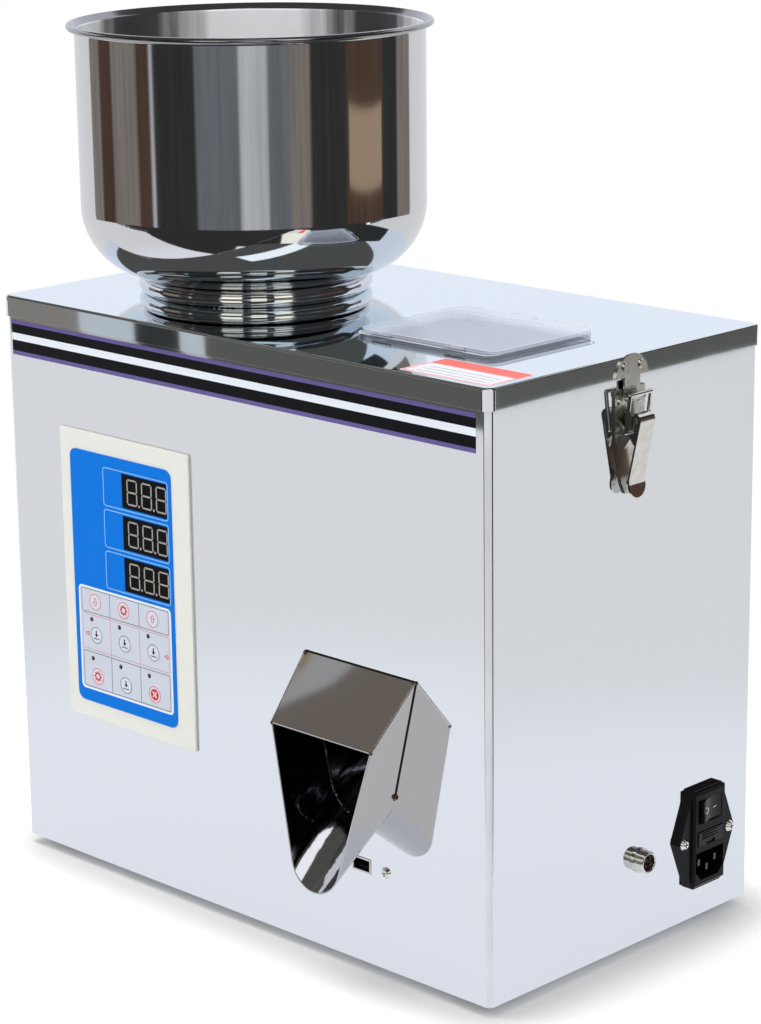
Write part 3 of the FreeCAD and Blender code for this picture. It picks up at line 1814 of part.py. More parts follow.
def make_armature():
    """Steel plate in the hollow of the tray's bracket, facing the magnet."""
    o = magnet_origin()
    near = o.x + magnet_gap
    half = slot_half()
    low = o.z + magnet_height / 6
    plate = block((near, near + armature_thickness), (o.y - half, o.y + half), (low, lid_top))
    plate = lean(plate, o)
    room = block((-side_x, side_x), (front_y, back_y), (base_z, tray_z - bracket_roof))
    return plate.common(room)


def make_feed_tray():
    """Vibrating tray: an open-topped channel, closed behind the hopper and open over the bucket."""
    x = (bowl_x - tray_back, tray_lip_x)
    half = tray_half_width + tray_sheet
    y = (path_y - half, path_y + half)
    tray = block(x, y, (tray_z, tray_z + tray_wall))
    hollow = block(
        (x[0] + tray_sheet, x[1] + 1),
        (path_y - tray_half_width, path_y + tray_half_width),
        (tray_z + tray_sheet, tray_z + tray_wall + 1),
    )
    above = tray_z + tray_wall + 1
    slope = [(x[1] - tray_wall * 0.6, above), (x[1] + 1, above), (x[1] + 1, tray_z + tray_wall / 4)]
    nose = side_prism(slope, path_y - half - 1, 2 * half + 2)
    return tray.cut(hollow).cut(nose)


# Weigh bucket and its drive


def bucket_loft(inset, low, high):
    """Tapering square space of the bucket, moved in by the inset."""
    top_z = level(bucket_top_height - bucket_collar)
    bottom_z = level(bucket_bottom_height)
    wires = []
    for z, half_x, half_y in (
        (bottom_z - low, bucket_bottom_half_x, bucket_bottom_half_y),
        (top_z, bucket_top_half, bucket_top_half),
    ):
        hx = half_x - inset
        hy = half_y - inset
        corners = [
            V(spout_x - hx, path_y - hy, z),
            V(spout_x + hx, path_y - hy, z),
            V(spout_x + hx, path_y + hy, z),
            V(spout_x - hx, path_y + hy, z),
        ]
        wires.append(Part.makePolygon(corners + [corners[0]]))
    taper = Part.makeLoft(wires, True, True)
    half = bucket_top_half - inset
    collar = block(
        (spout_x - half, spout_x + half),
        (path_y - half, path_y + half),
        (top_z, level(bucket_top_height) + high),
    )
    return taper.fuse(collar)


def door_axis():
    """Y and Z of the door's hinge line."""
    return path_y + door_axis_back, level(bucket_bottom_height) - door_axis_drop


def door_half():
    """Half the width of the bucket's door."""
    return bucket_bottom_half_x + door_overlap


def make_weigh_bucket():
    """Folded bucket with an open top and bottom and two ears for the door's shaft."""
    bucket = bucket_loft(0, 0, 0).cut(bucket_loft(bucket_sheet, 0.5, 1))
    y, z = door_axis()
    inner = door_half() + door_ear_gap
    bottom = level(bucket_bottom_height)
    ears = []
    for sign in (-1, 1):
        low, high = sorted((spout_x + sign * inner, spout_x + sign * (inner + ear_sheet)))
        rise = bottom + 16
        plate = face_prism(
            [
                (y - 14, bottom + 3),
                (y - 4, z - 4),
                (y + 4, z - 4),
                (y + 4, z + 4),
                (y - 1, rise),
                (y - 14, rise),
            ],
            low,
            high - low,
        )
        root = bucket_bottom_half_x - bucket_sheet / 2
        link_x = sorted((spout_x + sign * root, spout_x + sign * (inner + ear_sheet)))
        link = block(link_x, (y - 13, y - 9), (bottom + 6, rise - 1))
        ears += [plate, link]
    body = fused([bucket] + ears)
    body = body.cut(bucket_loft(bucket_sheet, 0.5, 1))
    bore = rod(door_shaft_radius + running_gap, V(spout_x - 2 * inner, y, z), V(spout_x + 2 * inner, y, z))
    return body.cut(bore)


def crank_x():
    """Near and far faces of the crank on the door's shaft."""
    start = spout_x + door_half() + door_ear_gap + ear_sheet + 7
    return start, start + crank_thickness


def make_bucket_door():
    """Door plate on its shaft, with a crank at the drive end."""
    y, z = door_axis()
    half = door_half()
    top = level(bucket_bottom_height) - moving_gap
    front = path_y - bucket_bottom_half_y - door_overlap
    plate = block((spout_x - half, spout_x + half), (front, y), (top - door_sheet, top))
    barrel = rod(door_barrel_radius, V(spout_x - half, y, z), V(spout_x + half, y, z))
    barrel = barrel.common(block((spout_x - half, spout_x + half), (y - 9, y + 9), (z - 9, top)))
    start = V(spout_x - half - door_ear_gap - ear_sheet - 1, y, z)
    near, far = crank_x()
    shaft = rod(door_shaft_radius, start, V(far, y, z))
    arm = block((near, far), (y - crank_length, y), (z - crank_half_width, z + crank_half_width))
    hub = rod(crank_half_width, V(near, y, z), V(far, y, z))
    return fused([plate, barrel, shaft, arm, hub])


def make_drive_disc():
    """Disc on the motor's shaft with a dog that lies just above the crank."""
    y, z = door_axis()
    near, far = crank_x()
    start = far + disc_gap
    disc = rod(drive_disc_radius, V(start, y, z), V(start + drive_disc_thickness, y, z))
    shaft_end = start + drive_disc_thickness + motor_boss_length + motor_plate
    shaft = rod(drive_shaft_radius, V(start, y, z), V(shaft_end, y, z))
    dog_z = z + crank_half_width + drive_dog_radius + moving_gap
    dog_y = y - drive_dog_place
    dog = rod(drive_dog_radius, V(near + 0.5, dog_y, dog_z), V(start + 1, dog_y, dog_z))
    return fused([disc, shaft, dog])


def motor_face():
    """X of the plate that the door motor is bolted to."""
    return crank_x()[1] + disc_gap + drive_disc_thickness + motor_boss_length


def make_motor_bracket():
    """Folded plate from the back panel that carries the door motor."""
    y, z = door_axis()
    x = motor_face()
    half = motor_radius + motor_plate_margin
    wall = back_y - case_sheet
    tall = (z - half * 0.7, z + half * 0.7)
    plate = block((x, x + motor_plate), (y - half, wall), tall)
    foot = block((x, x + motor_foot), (wall - motor_plate, wall), tall)
    plate = fused([plate, foot])
    hole = rod(motor_boss + weld_gap, V(x - 1, y, z), V(x + 5, y, z))
    return plate.cut(hole)


def make_door_motor():
    """Geared motor can with a short boss through its bracket."""
    y, z = door_axis()
    x = motor_face()
    can = rod(motor_radius, V(x + motor_plate, y, z), V(x + motor_plate + motor_length, y, z))
    boss = rod(motor_boss, V(x, y, z), V(x + motor_plate + 1, y, z))
    motor = fused([can, boss])
    reach = drive_shaft_radius + running_gap
    return motor.cut(rod(reach, V(x - 1, y, z), V(x + motor_plate + 4, y, z)))


# Load cell


def cell_place():
    """Low x, low y and low z of the load cell's bar."""
    x = spout_x - cell_end
    y = path_y + bucket_top_half + hanger_sheet
    return x, y, level(bucket_top_height) - bucket_collar + 0.5


def make_load_cell():
    """Alloy bar with the double hole that makes it bend in the middle."""
    x, y, z = cell_place()
    bar = block((x, x + cell_length), (y, y + cell_size), (z, z + cell_size))
    middle = x + cell_length / 2
    for shift in (-cell_hole, cell_hole):
        start = V(middle + shift, y - 1, z + cell_size / 2)
        bar = bar.cut(rod(cell_hole, start, start.add(V(0, cell_size + 2, 0))))
    slot_z = (z + (cell_size - cell_slot) / 2, z + (cell_size + cell_slot) / 2)
    slot = block((middle - cell_hole, middle + cell_hole), (y - 1, y + cell_size + 1), slot_z)
    bar = bar.cut(slot)
    for screw_x in cell_screws():
        start = V(screw_x, y - 1, z + cell_size / 2)
        bar = bar.cut(rod(cell_screw_radius + weld_gap, start, start.add(V(0, cell_size + 2, 0))))
    return bar


def cell_screws():
    """X of the screws at the moving end and at the fixed end of the load cell."""
    x = cell_place()[0]
    return [x + cell_end / 2 + 3, x + cell_length - cell_end, x + cell_length - 2 * cell_end]


def make_bucket_hanger():
    """Plate between the bucket's collar and the moving end of the load cell."""
    x, y, z = cell_place()
    low = level(bucket_top_height) - bucket_collar
    plate = block((x - hanger_lap, x + hanger_width), (y - hanger_sheet, y), (low, level(bucket_top_height)))
    screw_x = cell_screws()[0]
    start = V(screw_x, y - 2 * hanger_sheet, z + cell_size / 2)
    return plate.cut(rod(cell_screw_radius + weld_gap, start, start.add(V(0, 4 * hanger_sheet, 0))))


def make_cell_bracket():
    """Bracket from the back panel to the fixed end of the load cell."""
    x, y, z = cell_place()
    right = x + cell_length
    left = right - cell_bracket_width
    face = y + cell_size
    wall = back_y - case_sheet
    tall = (z - cell_bracket_lap, z + cell_size + cell_bracket_lap)
    pad = block((left, right), (face, face + cell_bracket_sheet), tall)
    web = block((right - cell_bracket_sheet, right), (face, wall), tall)
    foot = block((left - cell_bracket_foot, right), (wall - cell_bracket_sheet, wall), tall)
    bracket = fused([pad, web, foot])
    for screw_x in cell_screws()[1:]:
        start = V(screw_x, face - 1, z + cell_size / 2)
        end = start.add(V(0, 2 * cell_bracket_sheet, 0))
        bracket = bracket.cut(rod(cell_screw_radius + weld_gap, start, end))
    return bracket


def make_cell_screws():
    """Socket-head screws that clamp the load cell at both ends."""
    x, y, z = cell_place()
    middle = z + cell_size / 2
    screws = []
    first, *fixed = cell_screws()
    head_start = V(first, y + cell_size, middle)
    shank = rod(cell_screw_radius, V(first, y - hanger_sheet, middle), head_start)
    head = rod(cell_screw_head, head_start, head_start.add(V(0, cell_screw_head_height, 0)))
    screws.append(fused([shank, head]))
    for screw_x in fixed:
        start = V(screw_x, y, middle)
        shank = rod(cell_screw_radius, start, V(screw_x, y + cell_size + cell_bracket_sheet, middle))
        head = rod(cell_screw_head, start, start.add(V(0, -cell_screw_head_height, 0)))
        screws.append(fused([shank, head]))
    return group(screws)


# Control board


def board_floor():
    """Height of the underside of the control board."""
    return base_z + case_sheet + post_height


def post_places():
    """Centres of the posts under the control board."""
    places = []
    for sign_x in (-1, 1):
        for sign_y in (-1, 1):
            places.append(
                (
                    board_x + sign_x * (board_width / 2 - 2 * post_radius),
                    case_y + board_y + sign_y * (board_depth / 2 - 2 * post_radius),
                )
            )
    return places


def make_board_posts():
    """Four posts that carry the control board on the case's floor."""
    low = base_z + case_sheet
    return group([rod(post_radius, V(x, y, low), V(x, y, board_floor())) for x, y in post_places()])


def make_control_board():
    """Main circuit board."""
    x = (board_x - board_width / 2, board_x + board_width / 2)
    y = (case_y + board_y - board_depth / 2, case_y + board_y + board_depth / 2)
    return block(x, y, (board_floor(), board_floor() + board_thickness))


def make_board_parts():
    """Transformer, capacitors, relays and heat sink on the control board."""
    z = board_floor() + board_thickness
    y0 = case_y + board_y
    left = board_x - board_width / 2
    start = left + part_margin
    half = transformer / 2
    pieces = [block((start, start + transformer), (y0 - half, y0 + half), (z, z + transformer_height))]
    capacitor_x = start + transformer + 2 * capacitor_radius
    for step in (-1, 0):
        centre = V(capacitor_x, y0 + step * capacitor_pitch, z)
        pieces.append(rod(capacitor_radius, centre, centre.add(V(0, 0, capacitor_height))))
    column = capacitor_x + 2 * capacitor_radius
    relay_y = (y0 + part_margin, y0 + part_margin + relay_length)
    for step in range(relay_count):
        x = column + step * relay_pitch
        pieces.append(block((x, x + relay_width), relay_y, (z, z + relay_height)))
    sink_x = (column, column + sink_length)
    sink_y = y0 - part_margin / 2 - (fin_count - 1) * fin_pitch - fin_sheet
    fins = [block(sink_x, (sink_y, y0 - part_margin / 2), (z, z + sink_plate))]
    for step in range(fin_count):
        fin_y = sink_y + step * fin_pitch
        fins.append(block(sink_x, (fin_y, fin_y + fin_sheet), (z, z + sink_height)))
    pieces.append(fused(fins))
    return group(pieces)


# Every node by name

PARTS = {
    "case_shell": make_case_shell(),
    "back_panel": make_back_panel(),
    "base_plate": make_base_plate(),
    "rubber_feet": make_feet(),
    "foot_screws": make_foot_screws(),
    "lid_pan": make_lid_pan(),
    "hopper_bowl": make_hopper_bowl(),
    "bowl_foot_ring": make_bowl_ring(),
    "hopper_throat": make_hopper_throat(),
    "window_frame": make_window_frame(),
    "window_flap": make_window_flap(),
    "spout": make_spout(),
    "inner_trough": make_inner_trough(),
    "panel_bezel": make_panel_bezel(),
    "panel_film": make_panel_film(),
    "display_modules": make_display_modules(),
    "panel_board": group([make_panel_board(), make_key_switches()]),
    "latch_bases": both_sides(make_latch_base()),
    "latch_pins": group([both_sides(make_latch_pin()), make_base_rivets()]),
    "lid_keepers": both_sides(make_keeper()),
    "lid_pins": group([make_keeper_rivets(), make_window_pins()]),
    "latch_lever_right": make_latch_lever(),
    "latch_lever_left": mirrored(make_latch_lever()),
    "latch_bail_right": make_latch_bail(),
    "latch_bail_left": mirrored(make_latch_bail()),
    "inlet_body": make_inlet_body(),
    "contact_pins": group([make_inlet_pins(), make_socket_pins()]),
    "face_screws": group([make_inlet_screws(), make_port_screw()]),
    "fuse_drawer": group([make_fuse_drawer(), make_fuse()]),
    "power_rocker": make_rocker(),
    "sensor_socket": group([make_socket_shell(), make_socket_nut()]),
    "socket_insert": make_socket_insert(),
    "data_socket": group([make_port_shell(), make_port_tongue()]),
    "feeder_deck": make_feeder_deck(),
    "feeder_mounts": make_feeder_mounts(),
    "feeder_base": make_feeder_base(),
    "leaf_springs": make_leaf_springs(),
    "spring_clamps": make_spring_clamps(),
    "magnet_core": make_magnet_core(),
    "magnet_coil": make_magnet_coil(),
    "tray_bracket": group([make_tray_bracket(), make_armature()]),
    "feed_tray": make_feed_tray(),
    "weigh_bucket": make_weigh_bucket(),
    "bucket_door": make_bucket_door(),
    "drive_disc": make_drive_disc(),
    "door_motor": group([make_motor_bracket(), make_door_motor()]),
    "load_cell": make_load_cell(),
    "cell_mounts": group([make_bucket_hanger(), make_cell_bracket(), make_cell_screws()]),
    "board_posts": group([make_board_posts(), make_panel_posts()]),
    "control_board": group([make_control_board(), make_board_parts(), make_port_board()]),
}

for number, place in enumerate(key_places(), start=1):
    PARTS["key_%d" % number] = make_key(place)

os.makedirs("parts", exist_ok=True)
for name, shape in PARTS.items():
    shape.exportStep("parts/%s.step" % name)
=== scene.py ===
"""Dressed scene of a bench-top granule filling machine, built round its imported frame.

Every size in the dataclasses is in millimetres and in the frame's own axes: +X to the right of
someone who faces the control panel, -Y out of the front, +Z up, with the floor at zero. Only the
studio's own sizes are in metres.
"""

import json
import logging
import math
from collections.abc import Callable
from dataclasses import dataclass
from enum import Enum

import bmesh
import bpy
from mathutils import Matrix, Vector

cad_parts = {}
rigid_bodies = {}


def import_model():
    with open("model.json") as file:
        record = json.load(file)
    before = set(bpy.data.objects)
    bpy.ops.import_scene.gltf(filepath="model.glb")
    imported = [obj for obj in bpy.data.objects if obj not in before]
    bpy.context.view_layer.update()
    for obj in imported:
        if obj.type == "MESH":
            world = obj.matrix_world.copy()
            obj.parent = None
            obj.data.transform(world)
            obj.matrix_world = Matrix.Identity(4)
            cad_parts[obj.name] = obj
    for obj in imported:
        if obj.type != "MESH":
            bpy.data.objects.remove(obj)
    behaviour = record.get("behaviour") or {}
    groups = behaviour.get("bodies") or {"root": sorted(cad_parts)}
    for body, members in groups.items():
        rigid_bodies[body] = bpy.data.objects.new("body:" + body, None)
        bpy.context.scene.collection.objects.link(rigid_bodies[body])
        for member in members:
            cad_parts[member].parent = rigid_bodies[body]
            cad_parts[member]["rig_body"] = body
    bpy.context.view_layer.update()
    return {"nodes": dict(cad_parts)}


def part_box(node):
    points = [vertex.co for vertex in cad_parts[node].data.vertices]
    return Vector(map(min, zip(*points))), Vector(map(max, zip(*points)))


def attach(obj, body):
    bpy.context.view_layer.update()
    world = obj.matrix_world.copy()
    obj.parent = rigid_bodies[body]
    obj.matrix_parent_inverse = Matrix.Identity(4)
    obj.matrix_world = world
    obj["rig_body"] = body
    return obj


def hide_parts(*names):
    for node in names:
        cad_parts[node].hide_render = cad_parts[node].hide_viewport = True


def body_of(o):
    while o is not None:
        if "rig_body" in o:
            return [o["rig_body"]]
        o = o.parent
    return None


Pair = tuple[float, float]
Triple = tuple[float, float, float]

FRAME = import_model()
MM = 0.001
FOOT_HEIGHT = 6.0
MERGE = 1e-6
FLAT_DEGREES = 0.5
PLASTIC_IOR = 1.49
UP = Vector((0, 0, 1))
OUT = Vector((0, -1, 0))
LOG = logging.getLogger("granule_filler")


class Body(Enum):
    """Bodies of the frame that new pieces ride on."""

    HOUSING = "housing"
    LID = "lid"
    FLAP = "window_flap"
    ROCKER = "power_rocker"
    DRAWER = "fuse_drawer"


class Slot(Enum):
    """Material slots of the record, which each skin names but nothing reads."""

    SHEET = "bright_sheet"
    SPUN = "spun_steel"
    SATIN = "satin_steel"
    ZINC = "zinc_sheet"
    PLATED = "plated_steel"
    CLEAR = "clear_plastic"
    IVORY = "ivory_plastic"
    FILM = "blue_film"
    KEY = "key_plastic"
    DISPLAY = "display_filter"
    BLACK = "black_plastic"
    RUBBER = "black_rubber"
    BRASS = "contact_brass"


def linear(code: str) -> tuple[float, float, float, float]:
    """Turn an sRGB hex colour into linear values.

    Args:
        code: Six hex digits, such as "D1D3D7".

    Returns:
        Red, green, blue and an alpha of one.
    """
    values = []
    for start in (0, 2, 4):
        share = int(code[start : start + 2], 16) / 255
        values.append(share / 12.92 if share <= 0.04045 else ((share + 0.055) / 1.055) ** 2.4)
    return values[0], values[1], values[2], 1.0


def corner(node: str) -> tuple[Vector, Vector]:
    """Lowest and highest corner of a node at rest, in millimetres."""
    low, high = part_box(node)
    return low / MM, high / MM


def centre_of(node: str) -> Vector:
    """Middle of a node's box at rest, in millimetres."""
    low, high = corner(node)
    return (low + high) / 2


# Materials


class Tree:
    """Node tree that is filled one node at a time."""

    def __init__(self, tree: bpy.types.NodeTree) -> None:
        """Empty a tree and take it over."""
        self.tree = tree
        self.tree.nodes.clear()

    def add(self, kind: str, inputs: dict | None = None, **settings: object) -> bpy.types.Node:
        """Add a node.

        Args:
            kind: Blender's name of the node type.
            inputs: Socket name or number to a value, or to a (node, output) pair to link from.
            **settings: Properties of the node itself.

        Returns:
            The new node.
        """
        node = self.tree.nodes.new(kind)
        for key, value in settings.items():
            setattr(node, key, value)
        for key, value in (inputs or {}).items():
            if isinstance(value, tuple) and isinstance(value[0], bpy.types.Node):
                self.link(value[0], value[1], node, key)
            else:
                node.inputs[key].default_value = value
        return node

    def link(self, source: bpy.types.Node, out: str | int, target: bpy.types.Node, key: str | int) -> None:
        """Join an output to an input."""
        self.tree.links.new(source.outputs[out], target.inputs[key])


class Graph(Tree):
    """Node tree of one material."""

    def __init__(self, name: str) -> None:
        """Start a material with its shader and output.

        Args:
            name: Name of the finish.
        """
        self.material = bpy.data.materials.new(name)
        self.material.use_nodes = True
        super().__init__(self.material.node_tree)
        self.shader = self.add("ShaderNodeBsdfPrincipled")
        self.output = self.add("ShaderNodeOutputMaterial", {"Surface": (self.shader, "BSDF")})

    def set(self, **values: object) -> None:
        """Set sockets of the shader, with underscores for the spaces in their names."""
        for key, value in values.items():
            self.shader.inputs[key.replace("_", " ")].default_value = value

    def place(self, **mapping: Triple) -> bpy.types.Node:
        """Object coordinates, moved or scaled by the mapping's Location and Scale."""
        spot = self.add("ShaderNodeTexCoord")
        return self.add("ShaderNodeMapping", {"Vector": (spot, "Object"), **mapping})

    def grain(self, size_mm: float, detail: float = 2.0, stretch: Triple = (1, 1, 1)) -> bpy.types.Node:
        """Cloudy pattern whose grains have a real size.

        Args:
            size_mm: Size of a grain in millimetres.
            detail: Octaves of finer noise.
            stretch: Extra factor on each axis; below one draws the grains out along it.

        Returns:
            The noise node, from nought to one.
        """
        scale = 1 / (size_mm * MM)
        spot = self.place(Scale=tuple(scale * share for share in stretch))
        return self.add("ShaderNodeTexNoise", {"Vector": (spot, "Vector"), "Scale": 1.0, "Detail": detail})

    def drive(
        self, target: bpy.types.Node, key: str, source: bpy.types.Node, span: Pair, out: str = "Fac"
    ) -> None:
        """Let a pattern drive a socket between two limits.

        Args:
            target: Node that is driven.
            key: Its socket.
            source: Node that gives a value from nought to one.
            span: Results at nought and at one.
            out: Name of the source's output.
        """
        reach = self.add("ShaderNodeMapRange", {"Value": (source, out), "To Min": span[0], "To Max": span[1]})
        self.link(reach, "Result", target, key)

    def gloss(self, source: bpy.types.Node, roughness: float, uneven: Pair, out: str = "Fac") -> None:
        """Let the roughness vary with a pattern.

        Args:
            source: Node that gives a value from nought to one.
            roughness: Roughness of the finish.
            uneven: Share of it at nought and at one.
            out: Name of the source's output.
        """
        low, high = uneven
        self.drive(self.shader, "Roughness", source, (roughness * low, roughness * high), out)

    def shade(
        self, first: tuple, second: tuple, source: bpy.types.Node, out: str = "Fac", span: Pair | None = None
    ) -> None:
        """Let the colour run from one to another with a pattern.

        Args:
            first: Linear colour at nought.
            second: Linear colour at one.
            source: Node that gives a value from nought to one.
            out: Name of the source's output.
            span: Limits to bring the value between first, if any.
        """
        tone = self.add("ShaderNodeMix", {"A": first, "B": second}, data_type="RGBA")
        if span:
            self.drive(tone, "Factor", source, span, out)
        else:
            self.link(source, out, tone, "Factor")
        self.link(tone, "Result", self.shader, "Base Color")

    def relief(self, source: bpy.types.Node, depth_mm: float) -> None:
        """Raise the surface by a pattern.

        Args:
            source: Noise node that gives the height from nought to one.
            depth_mm: Height of the relief in millimetres.
        """
        inputs = {"Height": (source, "Fac"), "Distance": depth_mm * MM, "Strength": 1.0}
        self.link(self.add("ShaderNodeBump", inputs), "Normal", self.shader, "Normal")


@dataclass(frozen=True)
class MirrorSheet:
    """Mirror-polished stainless steel sheet, as cold rolled and buffed."""

    name: str = "mirror_polished_stainless_sheet"
    colour: str = "E6E8EC"
    roughness: float = 0.035
    uneven: Pair = (0.7, 1.4)
    haze_mm: float = 14.0
    wave_mm: float = 90.0
    wave_depth_mm: float = 0.05

    def make(self) -> bpy.types.Material:
        """A nearly clear mirror: faint polish haze, and sheet that isn't quite flat.

        Returns:
            The new material.
        """
        graph = Graph(self.name)
        graph.set(Base_Color=linear(self.colour), Metallic=1.0)
        graph.gloss(graph.grain(self.haze_mm, 3.0), self.roughness, self.uneven)
        graph.relief(graph.grain(self.wave_mm, 0.0), self.wave_depth_mm)
        return graph.material


@dataclass(frozen=True)
class SpunSteel:
    """Stainless steel spun on a lathe and polished, with fine rings left by the roller."""

    name: str = "spun_stainless"
    colour: str = "DADBDE"
    roughness: float = 0.06
    centre: Pair = (0.0, 0.0)
    relief_mm: float = 0.0012
    uneven: Pair = (0.6, 1.9)
    anisotropy: float = 0.4
    ring_mm: float = 0.9
    ring_draw: float = 0.012
    streak_mm: float = 16.0
    streak_draw: float = 0.08

    def make(self) -> bpy.types.Material:
        """Fine rings round the axis, which draw each reflection out upwards.

        Returns:
            The new material.
        """
        graph = Graph(self.name)
        graph.set(Base_Color=linear(self.colour), Metallic=1.0, Anisotropic=self.anisotropy)
        spot = graph.place(Location=(-self.centre[0] * MM, -self.centre[1] * MM, 0.0))
        tangent = graph.add(
            "ShaderNodeVectorMath", {0: (spot, "Vector"), 1: (0.0, 0.0, 1.0)}, operation="CROSS_PRODUCT"
        )
        turned = graph.add(
            "ShaderNodeVectorTransform", {"Vector": (tangent, "Vector")},
            vector_type="VECTOR", convert_from="OBJECT", convert_to="WORLD",
        )
        graph.link(turned, "Vector", graph.shader, "Tangent")
        rings = graph.grain(self.ring_mm, 2.0, (self.ring_draw, self.ring_draw, 1.0))
        streaks = graph.grain(self.streak_mm, 2.0, (1.0, 1.0, self.streak_draw))
        both = graph.add("ShaderNodeMath", {0: (rings, "Fac"), 1: (streaks, "Fac")}, operation="MULTIPLY")
        graph.gloss(both, self.roughness, self.uneven, "Value")
        if self.relief_mm:
            graph.relief(rings, self.relief_mm)
        return graph.material


@dataclass(frozen=True)
class BrushedInsidePaintedReflection:
    """Inner side of the spun stainless bowl, left as brushed by hand up and down, with painted reflections of
    a bright room in its colour.
    """

    name: str = "brushed_inside_painted_reflection"
    centre: Pair = (0.0, 0.0)
    dark: str = "3C3D3E"
    pale: str = "FFFFFF"
    bands: float = 4.0
    bands_turn: float = -1.55
    swing: float = 0.8
    painted_light_lift: float = 0.1
    streak_mm: float = 9.0
    streak_draw: float = 0.04
    brush_mm: float = 0.8
    brush_draw: float = 0.05
    brush_depth_mm: float = 0.002
    metallic: float = 0.12
    roughness: float = 0.3

    def make(self) -> bpy.types.Material:
        """Painted reflection: upright pale and dark streaks round the bowl in its colour, where brushed steel
        would mirror a bright room.

        Returns:
            The new material.
        """
        graph = Graph(self.name)
        spot = graph.place(Location=(-self.centre[0] * MM, -self.centre[1] * MM, 0.0))
        parts = graph.add("ShaderNodeSeparateXYZ", {"Vector": (spot, "Vector")})
        # The sine of the angle round the axis, raised and clamped, is a painted reflection of the room's pale
        # and dark sides; the fine streaks added to it stand for the brush grain.
        turn = graph.add("ShaderNodeMath", {0: (parts, "Y"), 1: (parts, "X")}, operation="ARCTAN2")
        inputs = {0: (turn, "Value"), 1: self.bands, 2: self.bands_turn}
        wave = graph.add("ShaderNodeMath", inputs, operation="MULTIPLY_ADD")
        broad = graph.add("ShaderNodeMath", {0: (wave, "Value")}, operation="SINE")
        inputs = {0: (broad, "Value"), 1: self.swing, 2: self.painted_light_lift}
        painted_light_lift = graph.add("ShaderNodeMath", inputs, operation="MULTIPLY_ADD")
        fine = graph.grain(self.streak_mm, 3.0, (1.0, 1.0, self.streak_draw))
        inputs = {0: (fine, "Fac"), 1: (painted_light_lift, "Value")}
        grey = graph.add("ShaderNodeMath", inputs, operation="ADD", use_clamp=True)
        graph.shade(linear(self.dark), linear(self.pale), grey, "Value")
        graph.set(Metallic=self.metallic, Roughness=self.roughness)
        brush = graph.grain(self.brush_mm, 2.0, (self.brush_draw, self.brush_draw, 1.0))
        graph.relief(brush, self.brush_depth_mm)
        return graph.material


@dataclass(frozen=True)
class SatinSteel:
    """Rolled stainless sheet, folded and welded, with a fine grain along one way."""

    name: str = "rolled_stainless_sheet"
    colour: str = "BDBCBB"
    roughness: float = 0.035
    uneven: Pair = (0.5, 2.2)
    grain_mm: float = 0.6
    grain_draw: float = 0.05
    grain_depth_mm: float = 0.0006
    cloud_mm: float = 22.0

    def make(self) -> bpy.types.Material:
        """Soft mirror with rolling grain and slightly uneven polish.

        Returns:
            The new material.
        """
        graph = Graph(self.name)
        graph.set(Base_Color=linear(self.colour), Metallic=1.0)
        grain = graph.grain(self.grain_mm, 3.0, (1.0, self.grain_draw, self.grain_draw))
        cloud = graph.grain(self.cloud_mm, 3.0)
        both = graph.add("ShaderNodeMath", {0: (grain, "Fac"), 1: (cloud, "Fac")}, operation="MULTIPLY")
        graph.gloss(both, self.roughness, self.uneven, "Value")
        graph.relief(grain, self.grain_depth_mm)
        return graph.material


@dataclass(frozen=True)
class PlatedSteel:
    """Bright nickel plate on pressed steel."""

    name: str = "nickel_plated_steel"
    colour: str = "D9D8D3"
    roughness: float = 0.12
    wear: str = "9A968C"
    relief_mm: float = 0.004
    uneven: Pair = (0.5, 2.0)
    patches: Pair = (-0.35, 0.75)
    cloud_mm: float = 5.0
    pit_mm: float = 1.2

    def make(self) -> bpy.types.Material:
        """Warm bright metal whose plate is a little cloudy and dull in patches.

        Returns:
            The new material.
        """
        graph = Graph(self.name)
        graph.set(Metallic=1.0)
        cloud = graph.grain(self.cloud_mm, 4.0)
        graph.shade(linear(self.colour), linear(self.wear), cloud, span=self.patches)
        graph.gloss(cloud, self.roughness, self.uneven)
        if self.relief_mm:
            graph.relief(graph.grain(self.pit_mm, 2.0), self.relief_mm)
        return graph.material


@dataclass(frozen=True)
class ZincSheet:
    """Zinc-plated steel sheet with its crystal pattern."""

    name: str = "zinc_plated_sheet"
    dark: str = "A4A8AD"
    pale: str = "B9BCC0"
    roughness: float = 0.38
    crystal_mm: float = 12.0

    def make(self) -> bpy.types.Material:
        """Dull grey metal with large pale and dark crystals.

        Returns:
            The new material.
        """
        graph = Graph(self.name)
        graph.set(Metallic=1.0, Roughness=self.roughness)
        spot = graph.place(Scale=(1 / (self.crystal_mm * MM),) * 3)
        cells = graph.add("ShaderNodeTexVoronoi", {"Vector": (spot, "Vector"), "Scale": 1.0})
        graph.shade(linear(self.dark), linear(self.pale), cells, "Distance")
        return graph.material


@dataclass(frozen=True)
class Moulding:
    """Injection-moulded plastic or rubber, or printed ink, with the fine texture it was made with."""

    name: str
    colour: str
    roughness: float
    grain_mm: float = 0.5
    depth_mm: float = 0.008
    mottle: float = 0.04
    sheen: float = 0.5
    uneven: Pair = (0.85, 1.15)
    cloud_mm: float = 30.0

    def make(self) -> bpy.types.Material:
        """Even colour, slightly mottled, with a fine grain in its gloss.

        Returns:
            The new material.
        """
        graph = Graph(self.name)
        graph.set(IOR=PLASTIC_IOR, Specular_IOR_Level=self.sheen)
        base = linear(self.colour)
        dark = tuple(share * (1 - 2 * self.mottle) for share in base[:3]) + (1.0,)
        graph.shade(dark, base, graph.grain(self.cloud_mm, 3.0))
        grain = graph.grain(self.grain_mm, 2.0)
        graph.gloss(grain, self.roughness, self.uneven)
        graph.relief(grain, self.depth_mm)
        return graph.material


